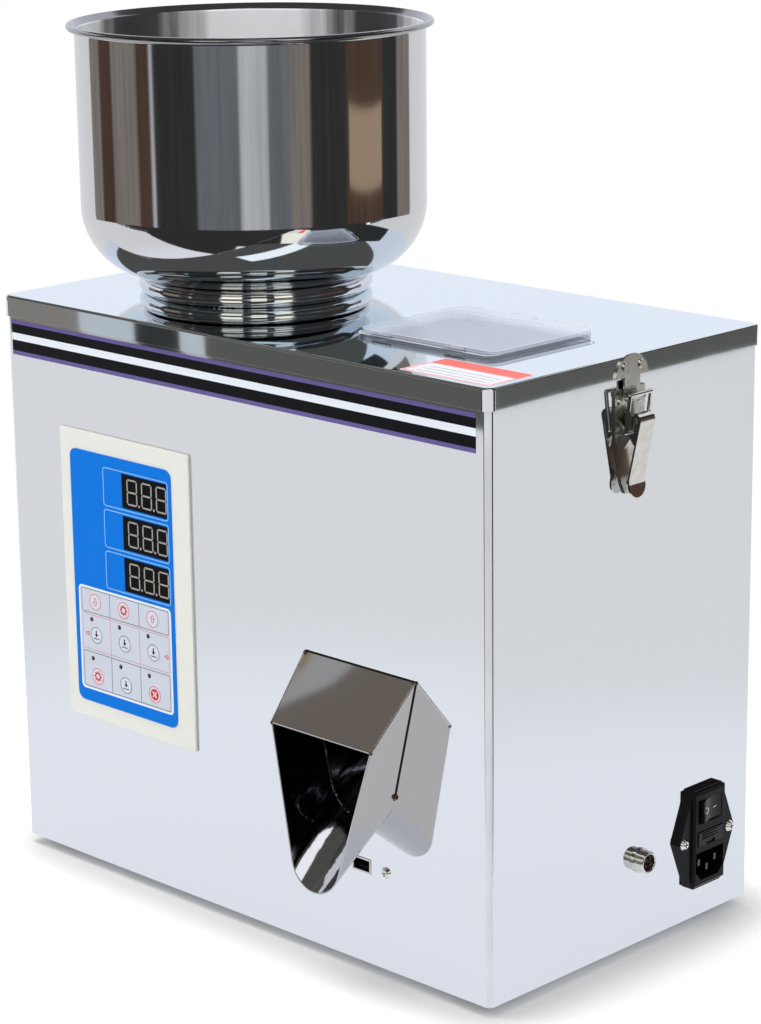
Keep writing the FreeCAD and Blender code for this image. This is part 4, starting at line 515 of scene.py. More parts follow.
@dataclass(frozen=True)
class ClearAcrylic:
    """Clear acrylic sheet, cut and flame-polished."""

    name: str = "clear_acrylic_sheet"
    colour: str = "CDD3E2"
    cover: Pair = (0.05, 0.75)
    roughness: Pair = (0.02, 0.1)
    wipe_mm: float = 18.0

    def make(self) -> bpy.types.Material:
        """Nearly unseen face on, with a cool pale sheen at a slant.

        Returns:
            The new material.
        """
        graph = Graph(self.name)
        graph.set(Base_Color=linear(self.colour), IOR=PLASTIC_IOR)
        slant = graph.add("ShaderNodeLayerWeight", {"Blend": 0.5})
        curve = graph.add("ShaderNodeMath", {0: (slant, "Facing"), 1: 2.0}, operation="POWER")
        graph.drive(graph.shader, "Alpha", curve, self.cover, "Value")
        graph.drive(graph.shader, "Roughness", graph.grain(self.wipe_mm, 4.0), self.roughness)
        return graph.material


@dataclass(frozen=True)
class PlainMetal:
    """Inner metal part, machined, wound or drawn."""

    name: str
    colour: str
    roughness: float
    grain_mm: float = 0.8
    stretch: Triple = (1, 1, 1)
    metallic: float = 1.0
    uneven: Pair = (0.7, 1.3)
    dark_share: float = 0.7
    depth_mm: float = 0.01

    def make(self) -> bpy.types.Material:
        """Metal with cutter marks in its gloss and colour.

        Returns:
            The new material.
        """
        graph = Graph(self.name)
        graph.set(Metallic=self.metallic)
        marks = graph.grain(self.grain_mm, 2.0, self.stretch)
        base = linear(self.colour)
        dark = tuple(share * self.dark_share for share in base[:3]) + (1.0,)
        graph.shade(dark, base, marks)
        graph.gloss(marks, self.roughness, self.uneven)
        graph.relief(marks, self.depth_mm)
        return graph.material


@dataclass(frozen=True)
class CircuitBoard:
    """Glass-fibre board with green solder mask over copper tracks."""

    name: str = "green_circuit_board"
    mask: tuple[str, str] = ("0E5A30", "0B4A28")
    track: str = "2F8A50"
    track_mm: float = 3.0

    def make(self) -> bpy.types.Material:
        """Green gloss with paler tracks on a small grid.

        Returns:
            The new material.
        """
        graph = Graph(self.name)
        graph.set(IOR=1.5, Roughness=0.3)
        spot = graph.place(Scale=(1 / (self.track_mm * MM),) * 3)
        inputs = {"Vector": (spot, "Vector"), "Scale": 1.0, "Mortar Size": 0.12, "Mortar": linear(self.track)}
        inputs.update({"Color1": linear(self.mask[0]), "Color2": linear(self.mask[1])})
        tracks = graph.add("ShaderNodeTexBrick", inputs, offset=0.37)
        graph.link(tracks, "Color", graph.shader, "Base Color")
        return graph.material


class Finishes:
    """Every finish of the machine, made once."""

    def __init__(self, bowl: Vector) -> None:
        """Make the materials.

        Args:
            bowl: Middle of the hopper bowl in millimetres.
        """
        centre = (bowl.x, bowl.y)
        # Buffed sheet of the case and the lid: a clear, faintly cold mirror.
        self.sheet = MirrorSheet().make()
        self.lid_sheet = MirrorSheet("mirror_polished_lid_sheet", "EAF4FA", 0.025).make()
        # Lathe-spun bowl and turned foot ring: drawn-out mirrors; the rolled rim is rubbed duller.
        self.spun = SpunSteel(centre=centre).make()
        self.turned = SpunSteel("turned_stainless", centre=centre, relief_mm=0.0).make()
        self.rim = SpunSteel("rolled_rim_stainless", "A2A3A6", 0.16, centre, 0.0).make()
        # Inner side of the bowl: brush grain, with painted reflections of the room in its colour.
        self.brushed = BrushedInsidePaintedReflection(centre=centre).make()
        # Pressed bend of the sheet: a painted highlight, a soft pale line along the corner.
        self.bend = PlainMetal("pressed_bend_painted_highlight", "F6F7FB", 0.4, 40.0, metallic=0.15).make()
        # Rolled sheet of the spout, and of the trough inside it, which grain has rubbed duller.
        self.satin = SatinSteel().make()
        self.trough = SatinSteel("rolled_trough_stainless", "CBCCD2", 0.09).make()
        # Nickel plate: cloudy on pressed parts, nearly a mirror on levers, wire and turned sockets.
        self.plated = PlatedSteel(roughness=0.17).make()
        self.bright = PlatedSteel("bright_nickel_plate", "E6E4DF", 0.05, "BDB9B0", 0.0).make()
        self.zinc = ZincSheet().make()
        self.acrylic = ClearAcrylic().make()
        # Cut edge of acrylic: a painted highlight, a pale line for the light that the edge gathers from the
        # whole sheet.
        self.painted_edge_highlight = Moulding("acrylic_edge_painted_highlight", "EEF1F8", 0.25, 0.3, 0.002, 0.02).make()
        # Moulded ABS bezel: warm white, half matt from a spark-eroded mould.
        self.ivory = Moulding("ivory_abs", "F1F1E8", 0.35).make()
        # Polyester film and the inks printed on it: flat, even colours with hardly any gloss.
        self.film = Moulding("blue_polyester_film", "0579E2", 0.3, 0.25, 0.003, 0.02, 0.05).make()
        self.field = Moulding("printed_pale_ink", "D3D8E4", 0.35, 0.25, 0.003, 0.02, 0.3).make()
        self.key = Moulding("printed_key_pad", "DCE0EA", 0.3, 0.25, 0.003, 0.02, 0.3).make()
        self.white_ink = self.ink("white", "EEF4FB", 0.3)
        self.sky_ink = self.ink("sky", "8FC6F4", 0.2)
        self.grey_ink = self.ink("grey", "5E5E62", 0.15)
        self.black_ink = self.ink("black", "101116", 0.12)
        self.red_ink = self.ink("red", "D9333F", 0.15)
        self.rose_ink = self.ink("rose", "DC7C8C", 0.2)
        self.violet_ink = self.ink("violet", "685E98", 0.15)
        self.coral_ink = self.ink("coral", "F4675A", 0.15)
        # Coated paper: off-white, with a tooth that only shows in its gloss.
        self.card = Moulding("coated_paper_label", "E6E6E8", 0.4, 0.4, 0.004, 0.02, 0.3).make()
        # Smoked filter over the displays, with unlit figures that read as grey shapes; the paler finish on
        # the key lamps is a painted glint.
        self.filter = Moulding("smoked_display_filter", "08080A", 0.15, 0.3, 0.002, 0.02, 0.06).make()
        self.segment = Moulding("unlit_segment", "A8A49D", 0.4, 0.3, 0.002, 0.02, 0.1).make()
        self.lamp = Moulding("painted_key_lamp_glint", "6E6A66", 0.3, 0.3, 0.002, 0.02, 0.3).make()
        # Black mouldings: nylon is the duller one, ABS the glossier; the marks are a second shot.
        self.black = Moulding("black_nylon", "0C0B0E", 0.3, 0.35, 0.006, 0.05, 0.15).make()
        self.satin_black = Moulding("black_gloss_abs", "0D0C10", 0.2, 0.4, 0.003, 0.05, 0.3).make()
        self.mark = Moulding("white_moulded_mark", "D8D8D8", 0.4, 0.3, 0.002, 0.02, 0.3).make()
        self.rubber = Moulding("black_rubber", "1B1B1B", 0.6, 0.5, 0.02, 0.06, 0.3).make()
        self.brown = Moulding("brown_phenolic", "3A1E16", 0.35, 0.4, 0.004, 0.06, 0.3).make()
        # Inner metals: turned brass, painted casting, blued springs, varnished wire, milled alloy.
        self.brass = PlainMetal("contact_brass", "C9A758", 0.25).make()
        self.iron = PlainMetal("painted_cast_iron", "3E5468", 0.5, 1.5, metallic=0.0).make()
        self.spring = PlainMetal("blued_spring_steel", "5B6068", 0.3, 0.7, (1.0, 0.05, 1.0)).make()
        self.copper = PlainMetal("varnished_copper_wire", "A6532A", 0.3, 0.5, (1.0, 1.0, 0.05)).make()
        self.alloy = PlainMetal("milled_alloy", "C4C6C8", 0.28, 0.6, (0.06, 1.0, 1.0)).make()
        self.motor = Moulding("black_motor_enamel", "202124", 0.35, 0.6, 0.01).make()
        # Weld bead left as laid, dull and grey, and steel that the torch has stained brown.
        self.weld = PlainMetal("weld_bead", "8B8884", 0.35, 0.8).make()
        self.burn = PlainMetal("heat_stained_steel", "7A5B41", 0.3, 1.0).make()
        self.board = CircuitBoard().make()

    def ink(self, tone: str, colour: str, sheen: float) -> bpy.types.Material:
        """Screen-printed ink.

        Args:
            tone: Plain name of its colour.
            colour: The colour itself.
            sheen: Strength of its gloss.

        Returns:
            The new material.
        """
        return Moulding("printed_%s_ink" % tone, colour, 0.35, 0.25, 0.002, 0.01, sheen).make()


# Shapes


def facing(place: Vector, axis: Vector) -> Matrix:
    """Matrix that moves a shape to a place and turns its Z along an axis."""
    return Matrix.Translation(place) @ axis.to_track_quat("Z", "Y").to_matrix().to_4x4()


def set_out(name: str, mesh: bmesh.types.BMesh, material: bpy.types.Material) -> bpy.types.Object:
    """Turn a bmesh into an object of the scene, and free it.

    Args:
        name: Name of the object.
        mesh: Its shape in metres.
        material: Its finish.

    Returns:
        The new object, at the origin.
    """
    data = bpy.data.meshes.new(name)
    mesh.to_mesh(data)
    mesh.free()
    data.materials.append(material)
    piece = bpy.data.objects.new(name, data)
    bpy.context.scene.collection.objects.link(piece)
    return piece


class Form:
    """A bmesh in millimetres that becomes one finished piece."""

    def __init__(self) -> None:
        """Start an empty form."""
        self.mesh = bmesh.new()

    def round_off(self, geom: list, size: float, steps: int, affect: str) -> dict:
        """Round edges or corners.

        Args:
            geom: Edges or vertices to round.
            size: Distance of the rounding along each side.
            steps: Segments of the arc.
            affect: "EDGES" or "VERTICES".

        Returns:
            What the bevel made.
        """
        return bmesh.ops.bevel(
            self.mesh, geom=geom, offset=size, offset_type="OFFSET", segments=steps,
            profile=0.5, affect=affect, material=-1,
        )

    def block(self, low: Vector, high: Vector, edge: float = 0.0) -> None:
        """Box between two corners, with its edges rounded.

        Args:
            low: Lowest corner.
            high: Highest corner.
            edge: Radius of the rounding, or nought.
        """
        place = Matrix.Translation((low + high) / 2) @ Matrix.Diagonal((*(high - low), 1))
        made = bmesh.ops.create_cube(self.mesh, size=1.0, matrix=place)
        if edge:
            sides = list({side for vert in made["verts"] for side in vert.link_edges})
            self.round_off(sides, edge, 2, "EDGES")

    def rod(
        self, start: Vector, end: Vector, radius: float, sides: int = 24, tip: float | None = None
    ) -> None:
        """Closed cylinder or cone between two points.

        Args:
            start: Centre of the first end.
            end: Centre of the other end.
            radius: Radius at the start.
            sides: Number of sides.
            tip: Radius at the other end, if it differs.
        """
        bmesh.ops.create_cone(
            self.mesh, cap_ends=True, segments=sides, radius1=radius, radius2=radius if tip is None else tip,
            depth=(end - start).length, matrix=facing((start + end) / 2, end - start),
        )

    def ball(self, place: Vector, radius: float, sides: int, rings: int, squash: float = 1.0) -> None:
        """Ball, such as a weld bead.

        Args:
            place: Its centre.
            radius: Its radius.
            sides: Segments round it.
            rings: Segments from pole to pole.
            squash: Factor on its depth along Y.
        """
        matrix = Matrix.Translation(place) @ Matrix.Diagonal((1.0, squash, 1.0, 1.0))
        bmesh.ops.create_uvsphere(self.mesh, u_segments=sides, v_segments=rings, radius=radius, matrix=matrix)

    def thicken(self, face: bmesh.types.BMFace, depth: Vector, line: float | None = None) -> None:
        """Give a flat face a thickness, whole or as an outline.

        Args:
            face: Face of the form.
            depth: Direction and length of the thickness.
            line: Width of the outline, or None for a whole plate.
        """
        face.normal_update()
        faces = [face]
        if line:
            made = bmesh.ops.inset_region(
                self.mesh, faces=faces, thickness=line, use_even_offset=True, use_boundary=True
            )
            bmesh.ops.delete(self.mesh, geom=[face], context="FACES_ONLY")
            faces = made["faces"]
        raised = bmesh.ops.extrude_face_region(self.mesh, geom=faces)
        back = [part for part in raised["geom"] if isinstance(part, bmesh.types.BMVert)]
        bmesh.ops.translate(self.mesh, vec=depth, verts=back)

    def ring(
        self, centre: Vector, axis: Vector, inner: float, outer: float, height: float, sides: int = 40
    ) -> None:
        """Flat ring with a square section.

        Args:
            centre: Centre of its underside.
            axis: Direction of its height.
            inner: Inner radius.
            outer: Outer radius.
            height: Thickness along the axis.
            sides: Number of sides.
        """
        made = bmesh.ops.create_circle(
            self.mesh, cap_ends=True, segments=sides, radius=outer, matrix=facing(centre, axis)
        )
        self.thicken(made["verts"][0].link_faces[0], axis.normalized() * height, outer - inner)

    def bead(self, centre: Vector, axis: Vector, radius: float, wire: float, sides: int = 48) -> None:
        """Round ring, such as a rolled edge or a thread's crest.

        Args:
            centre: Centre of the ring.
            axis: Its axis.
            radius: Radius of the ring's middle line.
            wire: Radius of its section.
            sides: Steps round the ring.
        """
        across = Matrix.Translation((radius, 0, 0)) @ Matrix.Rotation(math.pi / 2, 4, "X")
        place = facing(centre, axis) @ across
        made = bmesh.ops.create_circle(self.mesh, segments=12, radius=wire, matrix=place)
        edges = list({side for vert in made["verts"] for side in vert.link_edges})
        bmesh.ops.spin(
            self.mesh, geom=made["verts"] + edges, cent=centre, axis=axis.normalized(),
            angle=2 * math.pi, steps=sides, use_merge=True,
        )

    def outline(
        self, low: Vector, high: Vector, depth: Vector, round_by: float, line: float | None = None
    ) -> None:
        """Rounded rectangle, whole or as an outline, with a thickness.

        Args:
            low: One corner of the rectangle.
            high: The opposite corner, in the same plane.
            depth: Direction and length of the thickness, square to the plane.
            round_by: Radius of the corners.
            line: Width of the outline, or None for a whole plate.
        """
        span = high - low
        first = Vector((span.x, 0, 0)) if span.x else Vector((0, span.y, 0))
        points = [low, low + first, high, low + (span - first)]
        verts = [self.mesh.verts.new(point) for point in points]
        self.mesh.faces.new(verts)
        rounded = self.round_off(verts, round_by, 6, "VERTICES")
        faces = (vert.link_faces[0] for vert in rounded["verts"])
        self.thicken(max(faces, key=lambda part: part.calc_area()), depth, line)

    def flat(self, points: list[Vector], depth: Vector, line: float | None = None) -> None:
        """Plate on an outline of straight sides.

        Args:
            points: Corners in order, in one plane.
            depth: Direction and length of the thickness.
            line: Width of the outline, or None for a whole plate.
        """
        self.thicken(self.mesh.faces.new([self.mesh.verts.new(point) for point in points]), depth, line)

    def finish(
        self, name: str, material: bpy.types.Material, body: Body | str, crease: float = 35.0
    ) -> bpy.types.Object:
        """Turn the form into a piece that rides on a body.

        Args:
            name: Name of the piece.
            material: Its finish.
            body: Body that it moves with.
            crease: Angle in degrees from which an edge stays sharp.

        Returns:
            The new object, at the origin.
        """
        bmesh.ops.transform(self.mesh, matrix=Matrix.Scale(MM, 4), verts=self.mesh.verts)
        bmesh.ops.recalc_face_normals(self.mesh, faces=self.mesh.faces)
        soften(self.mesh, crease)
        piece = set_out(name, self.mesh, material)
        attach(piece, body.value if isinstance(body, Body) else body)
        LOG.info("made %s, %d faces", name, len(piece.data.polygons))
        return piece


def soften(mesh: bmesh.types.BMesh, crease: float) -> None:
    """Shade faces smoothly and keep edges sharper than the crease angle.

    Args:
        mesh: Mesh to shade.
        crease: Angle in degrees.
    """
    for face in mesh.faces:
        face.smooth = True
    for edge in mesh.edges:
        sharp = len(edge.link_faces) != 2 or edge.calc_face_angle(0.0) > math.radians(crease)
        edge.smooth = not sharp


def flatten(piece: bpy.types.Object) -> None:
    """Let large faces set the shading at their edges, so that they stay flat.

    Args:
        piece: Object to shade.
    """
    shading = piece.modifiers.new("flat_faces", "WEIGHTED_NORMAL")
    shading.keep_sharp = True
    shading.weight = 100


def tint(
    piece: bpy.types.Object, material: bpy.types.Material, chosen: Callable[[Vector, Vector], bool]
) -> None:
    """Give some faces of a piece a finish of their own.

    Args:
        piece: Piece that holds one finish already.
        material: Their finish.
        chosen: Test of a face's centre in millimetres and its normal.
    """
    piece.data.materials.append(material)
    number = len(piece.data.materials) - 1
    for face in piece.data.polygons:
        if chosen(face.center / MM, face.normal):
            face.material_index = number


@dataclass(frozen=True)
class Skin:
    """A node's own shape, merged and with its edges softened, that stands for the node."""

    node: str
    slot: Slot
    edge: float = 0.2
    crease: float = 30.0

    def make(self, material: bpy.types.Material) -> bpy.types.Object:
        """Build the skin and hide the node.

        Args:
            material: Finish of the skin.

        Returns:
            The new object.
        """
        node = FRAME["nodes"][self.node]
        shape = bmesh.new()
        shape.from_mesh(node.data)
        bmesh.ops.remove_doubles(shape, verts=shape.verts, dist=MERGE)
        bmesh.ops.dissolve_limit(
            shape, angle_limit=math.radians(FLAT_DEGREES), verts=shape.verts, edges=shape.edges,
            use_dissolve_boundaries=False, delimit=set(),
        )
        soften(shape, self.crease)
        piece = set_out(self.node + "_skin", shape, material)
        if self.edge:
            rounding = piece.modifiers.new("edges", "BEVEL")
            rounding.width = self.edge * MM
            rounding.segments = 2
            rounding.limit_method = "ANGLE"
            rounding.angle_limit = math.radians(self.crease)
            flatten(piece)
        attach(piece, body_of(node)[0])
        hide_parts(self.node)
        return piece


def wear(node: str, material: bpy.types.Material) -> None:
    """Give a node that keeps its own mesh a finish.

    Args:
        node: Name of the node.
        material: Its finish.
    """
    data = FRAME["nodes"][node].data
    data.materials.clear()
    data.materials.append(material)


# Sub-assemblies


@dataclass
class Assembly:
    """A part of the machine, with the finishes that it wears."""

    finishes: Finishes


@dataclass
class HopperBowl(Assembly):
    """Spun bowl with a rounded shoulder and a rolled rim."""

    sheet: float = 1.0
    shoulder_radius: float = 99.4
    mouth_radius: float = 99.8
    bend: float = 41.0
    bead: float = 1.8
    outlet_radius: float = 25.0
    lip_bend: float = 1.0
    inner_tilt: float = 0.7
    steps: int = 144

    def make(self) -> None:
        """Spin the bowl and dress its ring and throat."""
        low, high = corner("hopper_bowl")
        axis = centre_of("hopper_bowl")
        rim_radius = (high.x - low.x) / 2
        form = Form()
        self.wall(form, Vector((axis.x, axis.y, low.z)), high.z - low.z, rim_radius)
        roll = Vector((axis.x, axis.y, high.z - self.bead))
        form.bead(roll, UP, rim_radius - self.bead, self.bead, self.steps)
        bowl = form.finish("hopper_bowl_spun", self.finishes.spun, Body.LID, 50.0)
        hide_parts("hopper_bowl")
        flatten(bowl)
        reach = rim_radius - 2 * self.bead

        def inside(centre: Vector, normal: Vector) -> bool:
            """Whether a face belongs to the inner side.

            Args:
                centre: Its centre in millimetres.
                normal: Its normal.

            Returns:
                True for the inner side.
            """
            out = Vector((centre.x - axis.x, centre.y - axis.y, 0))
            return out.length < reach and (normal.dot(out) < 0 or normal.z > self.inner_tilt)

        def rolled(centre: Vector, _normal: Vector) -> bool:
            """Whether a face belongs to the rolled rim, by its height alone."""
            return centre.z > high.z - 2 * self.bead

        tint(bowl, self.finishes.brushed, inside)
        tint(bowl, self.finishes.rim, rolled)
        Skin("bowl_foot_ring", Slot.SPUN, 0.0, 60.0).make(self.finishes.turned)
        Skin("hopper_throat", Slot.SPUN, 0.15).make(self.finishes.spun)

    def wall(self, form: Form, base: Vector, height: float, rim_radius: float) -> None:
        """Add the bowl's wall and bottom.

        Args:
            form: Form to add to.
            base: Centre of the bottom's underside.
            height: Height of the bowl.
            rim_radius: Outer radius of the rim.
        """
        neck = height - 2 * self.bead
        flare = rim_radius - self.bead
        outline = [
            (self.outlet_radius, 0.0),
            (self.shoulder_radius, 0.0),
            (self.mouth_radius, neck),
            (flare, height - self.sheet),
            (flare, height),
            (flare - self.sheet, height),
            (self.mouth_radius - self.sheet, neck),
            (self.shoulder_radius - self.sheet, self.sheet),
            (self.outlet_radius, self.sheet),
        ]
        verts = [form.mesh.verts.new(base + Vector((radius, 0, z))) for radius, z in outline]
        form.mesh.faces.new(verts)
        form.mesh.verts.ensure_lookup_table()
        inner_bend = self.bend - self.sheet
        rounds = ((1, self.bend, 20), (7, inner_bend, 20), (2, self.lip_bend, 5), (6, self.lip_bend, 5))
        for number, size, steps in rounds:
            form.round_off([verts[number]], size, steps, "VERTICES")
        bmesh.ops.delete(form.mesh, geom=list(form.mesh.faces), context="FACES_ONLY")
        loop = list(form.mesh.verts) + list(form.mesh.edges)
        bmesh.ops.spin(
            form.mesh, geom=loop, cent=base, axis=UP, angle=2 * math.pi, steps=self.steps, use_merge=True
        )


@dataclass
class Case(Assembly):
    """Case, base, feet and lid, with the printed band and the lid's card."""

    band_left: float = -183.3
    band_right: float = 179.5
    band_top: float = 316.1
    film: float = 0.12
    card_left: float = 124.0
    card_right: float = 185.5
    card_front: float = 4.5
    card_depth: float = 35.0
    card_header: float = 12.0
    card_round: float = 1.2
    card_inset: float = 0.9
    border_round: float = 0.8
    header_inset: float = 0.7
    rule_count: int = 3
    rule_line: float = 0.4
    rule_inset: float = 6.0
    rule_start: float = 4.5
    rule_pitch: float = 5.0
    screw_radius: float = 3.0
    screw_inset: float = 6.0
    screw_rows: Triple = (0.04, 0.5, 0.96)
    screw_rise: Pair = (0.7, 1.3)
    screw_dome: float = 0.55
    bend_tilt: float = 0.3
    side_tilt: float = 0.08

    def make(self) -> None:
        """Dress the case and add what is printed on it."""
        shell = Skin("case_shell", Slot.SHEET, 0.15).make(self.finishes.sheet)
        Skin("back_panel", Slot.SHEET, 0.15).make(self.finishes.sheet)
        pan = Skin("lid_pan", Slot.SHEET, 0.1).make(self.finishes.lid_sheet)
        # Upright bends of the case and lid take a pale, nearly matt finish: a painted highlight along each
        # corner.
        for piece in (shell, pan):
            tint(piece, self.finishes.bend, self.bent_for_painted_highlight)
        Skin("base_plate", Slot.ZINC, 0.1).make(self.finishes.zinc)
        Skin("rubber_feet", Slot.RUBBER, 0.4).make(self.finishes.rubber)
        wear("foot_screws", self.finishes.plated)
        self.band()
        self.card()
        self.back_screws()

    def bent_for_painted_highlight(self, _centre: Vector, normal: Vector) -> bool:
        """Whether a face lies in an upright bend, which takes the painted highlight, apart from the last
        facet beside each side.
        """
        upright = abs(normal.z) < self.bend_tilt
        return upright and abs(normal.y) > self.bend_tilt and abs(normal.x) > self.side_tilt

    def band(self) -> None:
        """Printed band under the lid: violet, black, white, black and violet lines."""
        face = corner("case_shell")[0].y
        stripes = [
            ("violet", 2.3, self.finishes.violet_ink),
            ("black", 5.3, self.finishes.black_ink),
            ("white", 4.2, self.finishes.white_ink),
            ("black", 6.2, self.finishes.black_ink),
            ("violet", 2.4, self.finishes.violet_ink),
        ]
        top = self.band_top + FOOT_HEIGHT
        for number, (colour, height, ink) in enumerate(stripes, start=1):
            form = Form()
            low = Vector((self.band_left, face - self.film, top - height))
            form.block(low, Vector((self.band_right, face, top)))
            form.finish("front_band_%d_%s" % (number, colour), ink, Body.HOUSING)
            top -= height

    def card(self) -> None:
        """Blank write-in card on the lid, with a coral header and border."""
        low, high = corner("lid_pan")
        near = Vector((self.card_left, low.y + self.card_front, high.z))
        far = Vector((self.card_right, near.y + self.card_depth, high.z))
        up = UP * self.film
        paper = Form()
        paper.outline(near, far, up, self.card_round)
        paper.finish("lid_card", self.finishes.card, Body.LID)
        inset = Vector((self.card_inset, self.card_inset, 0))
        near += inset + up
        far += up - inset
        print_up = up / 3
        ink = Form()
        ink.outline(near, far, print_up, self.border_round, self.card_inset)
        inset = self.header_inset
        header = Vector((near.x + inset, far.y - self.card_header, near.z))
        ink.block(header, far - Vector((inset, inset, 0)) + print_up)
        ink.finish("lid_card_header", self.finishes.coral_ink, Body.LID)
        rules = Form()
        for step in range(self.rule_count):
            y = near.y + self.rule_start + step * self.rule_pitch
            start = Vector((near.x + self.rule_inset, y, near.z))
            end = Vector((far.x - self.rule_inset, y + self.rule_line, near.z))
            rules.block(start, end + print_up)
        rules.finish("lid_card_rules", self.finishes.grey_ink, Body.LID)

    def back_screws(self) -> None:
        """Pan-head screws along the edges of the back panel."""
        low, high = corner("back_panel")
        form = Form()
        for share in self.screw_rows:
            for x in (low.x + self.screw_inset, high.x - self.screw_inset):
                z = low.z + share * (high.z - low.z)
                self.screw(form, Vector((x, high.y, z)))
        form.finish("back_screws", self.finishes.plated, Body.HOUSING)

    def screw(self, form: Form, place: Vector) -> None:
        """One low pan head on the back.

        Args:
            form: Form to add to.
            place: Centre of the head's seat.
        """
        edge, top = (place - OUT * rise for rise in self.screw_rise)
        form.rod(place, edge, self.screw_radius)
        form.rod(edge, top, self.screw_radius, tip=self.screw_radius * self.screw_dome)


@dataclass
class ControlPanel(Assembly):
    """Bezel, printed film, displays and keys."""

    ink: float = 0.05
    group_left: float = 28.3
    group_line: float = 0.55
    group_gap: Pair = (1.2, 1.4)
    group_round: float = 2.2
    field_left: float = 3.4
    field_right: float = 82.9
    field_top: float = 69.8
    field_bottom: float = 7.4
    field_round: float = 3.0
    border_line: float = 1.1
    display_pitch: float = 24.45
    digit_width: float = 7.9
    digit_height: float = 14.2
    digit_pitch: float = 12.3
    digit_count: int = 3
    digit_start: float = 4.6
    segment: float = 0.95
    segment_gap: float = 0.25
    segment_rise: float = 0.04
    point_radius: float = 0.75
    point_place: Pair = (1.9, 0.2)
    cell_line: float = 0.32
    cell_round: float = 1.0
    cell_columns: tuple[float, ...] = (5.8, 30.4, 55.5, 80.7)
    cell_rows: tuple[Pair, ...] = ((54.1, 68.3), (31.8, 53.1), (9.0, 30.5))
    lamp_columns: Triple = (14.0, 38.3, 62.9)
    lamp_rows: Pair = (50.2, 26.7)
    lamp_radius: float = 1.35
    glint_radius: float = 0.55
    glint_shift: Triple = (-0.45, 0.0, 0.1)
    arrow_columns: Pair = (8.4, 76.5)
    arrow_row: float = 41.2
    arrow_line: float = 0.36

    def __post_init__(self) -> None:
        """Find the film's lower left corner."""
        self.foot = corner("panel_film")[0]

    def make(self) -> None:
        """Dress the panel's nodes and print the film."""
        Skin("panel_bezel", Slot.IVORY, 0.25).make(self.finishes.ivory)
        Skin("panel_film", Slot.FILM, 0.0).make(self.finishes.film)
        Skin("display_modules", Slot.DISPLAY, 0.0).make(self.finishes.filter)
        wear("panel_board", self.finishes.board)
        for number in range(1, 10):
            Skin("key_%d" % number, Slot.KEY, 0.0, 40.0).make(self.finishes.key)
        self.groups()
        self.field()
        self.digits()
        self.keys()

    def at(self, x: float, z: float, rise: float = 0.0) -> Vector:
        """Point on the film's face.

        Args:
            x: Distance from the film's left edge.
            z: Height above the film's lower edge.
            rise: Distance out from the film.

        Returns:
            The point in the frame.
        """
        return self.foot + Vector((x, -rise, z))

    def displays(self) -> list[tuple[float, float, float, float]]:
        """Left, right, low and high edges of the displays, from the film's lower left corner."""
        low, high = (place - self.foot for place in corner("display_modules"))
        tall = high.z - low.z - 2 * self.display_pitch
        tops = [high.z - row * self.display_pitch for row in range(3)]
        return [(low.x, high.x, top - tall, top) for top in tops]

    def groups(self) -> None:
        """Pale outlines round each display and its bare caption space."""
        form = Form()
        side, over = self.group_gap
        for _, right, low, high in self.displays():
            near = self.at(self.group_left, low - over)
            far = self.at(right + side, high + over)
            form.outline(near, far, OUT * self.ink, self.group_round, self.group_line)
        form.finish("display_outlines", self.finishes.sky_ink, Body.HOUSING)

    def field(self) -> None:
        """Pale key field with its border, cell lines and lamps, each lamp with a painted glint."""
        depth = OUT * self.ink
        ground = Form()
        near = self.at(self.field_left, self.field_bottom)
        far = self.at(self.field_right, self.field_top)
        ground.outline(near, far, depth, self.field_round)
        ground.finish("key_field", self.finishes.field, Body.HOUSING)
        border = Form()
        border.outline(near + depth, far + depth, depth / 2, self.field_round, self.border_line)
        border.finish("key_field_border", self.finishes.white_ink, Body.HOUSING)
        top, middle, bottom = self.cell_rows
        self.cells("black", (top, bottom), self.finishes.black_ink)
        self.cells("rose", (middle,), self.finishes.rose_ink)
        lamps = Form()
        glints = Form()
        shift = Vector(self.glint_shift)
        for x in self.lamp_columns:
            for z in self.lamp_rows:
                spot = self.at(x, z, self.ink)
                lamps.rod(spot, spot + depth, self.lamp_radius, 20)
                # A paler disc off the middle of each dark lamp: a painted glint.
                glints.rod(spot + depth + shift, spot + depth * 1.6 + shift, self.glint_radius, 14)
        lamps.finish("key_lamps", self.finishes.black_ink, Body.HOUSING)
        glints.finish("key_lamp_glints", self.finishes.lamp, Body.HOUSING)

    def cells(self, name: str, rows: tuple[Pair, ...], ink: bpy.types.Material) -> None:
        """Thin outlines round rows of keys, with the lines between the keys.

        Args:
            name: Plain name of the ink.
            rows: Lower and upper edge of each row.
            ink: The ink.
        """
        columns = self.cell_columns
        half = self.cell_line / 2
        lines = Form()
        for low, high in rows:
            start = self.at(columns[0], low, self.ink)
            end = self.at(columns[-1], high, self.ink)
            lines.outline(start, end, OUT * self.ink / 2, self.cell_round, self.cell_line)
            for x in columns[1:-1]:
                foot = self.at(x - half, low, self.ink * 1.5)
                lines.block(foot, self.at(x + half, high, self.ink))
        lines.finish("key_lines_%s" % name, ink, Body.HOUSING)

    def digits(self) -> None:
        """Unlit seven-segment figures with their points."""
        face = corner("display_modules")[0].y
        form = Form()
        depth = OUT * self.segment_rise
        for left, _, low, high in self.displays():
            foot = (low + high) / 2 - self.digit_height / 2
            for step in range(self.digit_count):
                place = self.at(left + self.digit_start + step * self.digit_pitch, foot)
                self.digit(form, Vector((place.x, face, place.z)), depth)
        form.finish("display_segments", self.finishes.segment, Body.HOUSING)

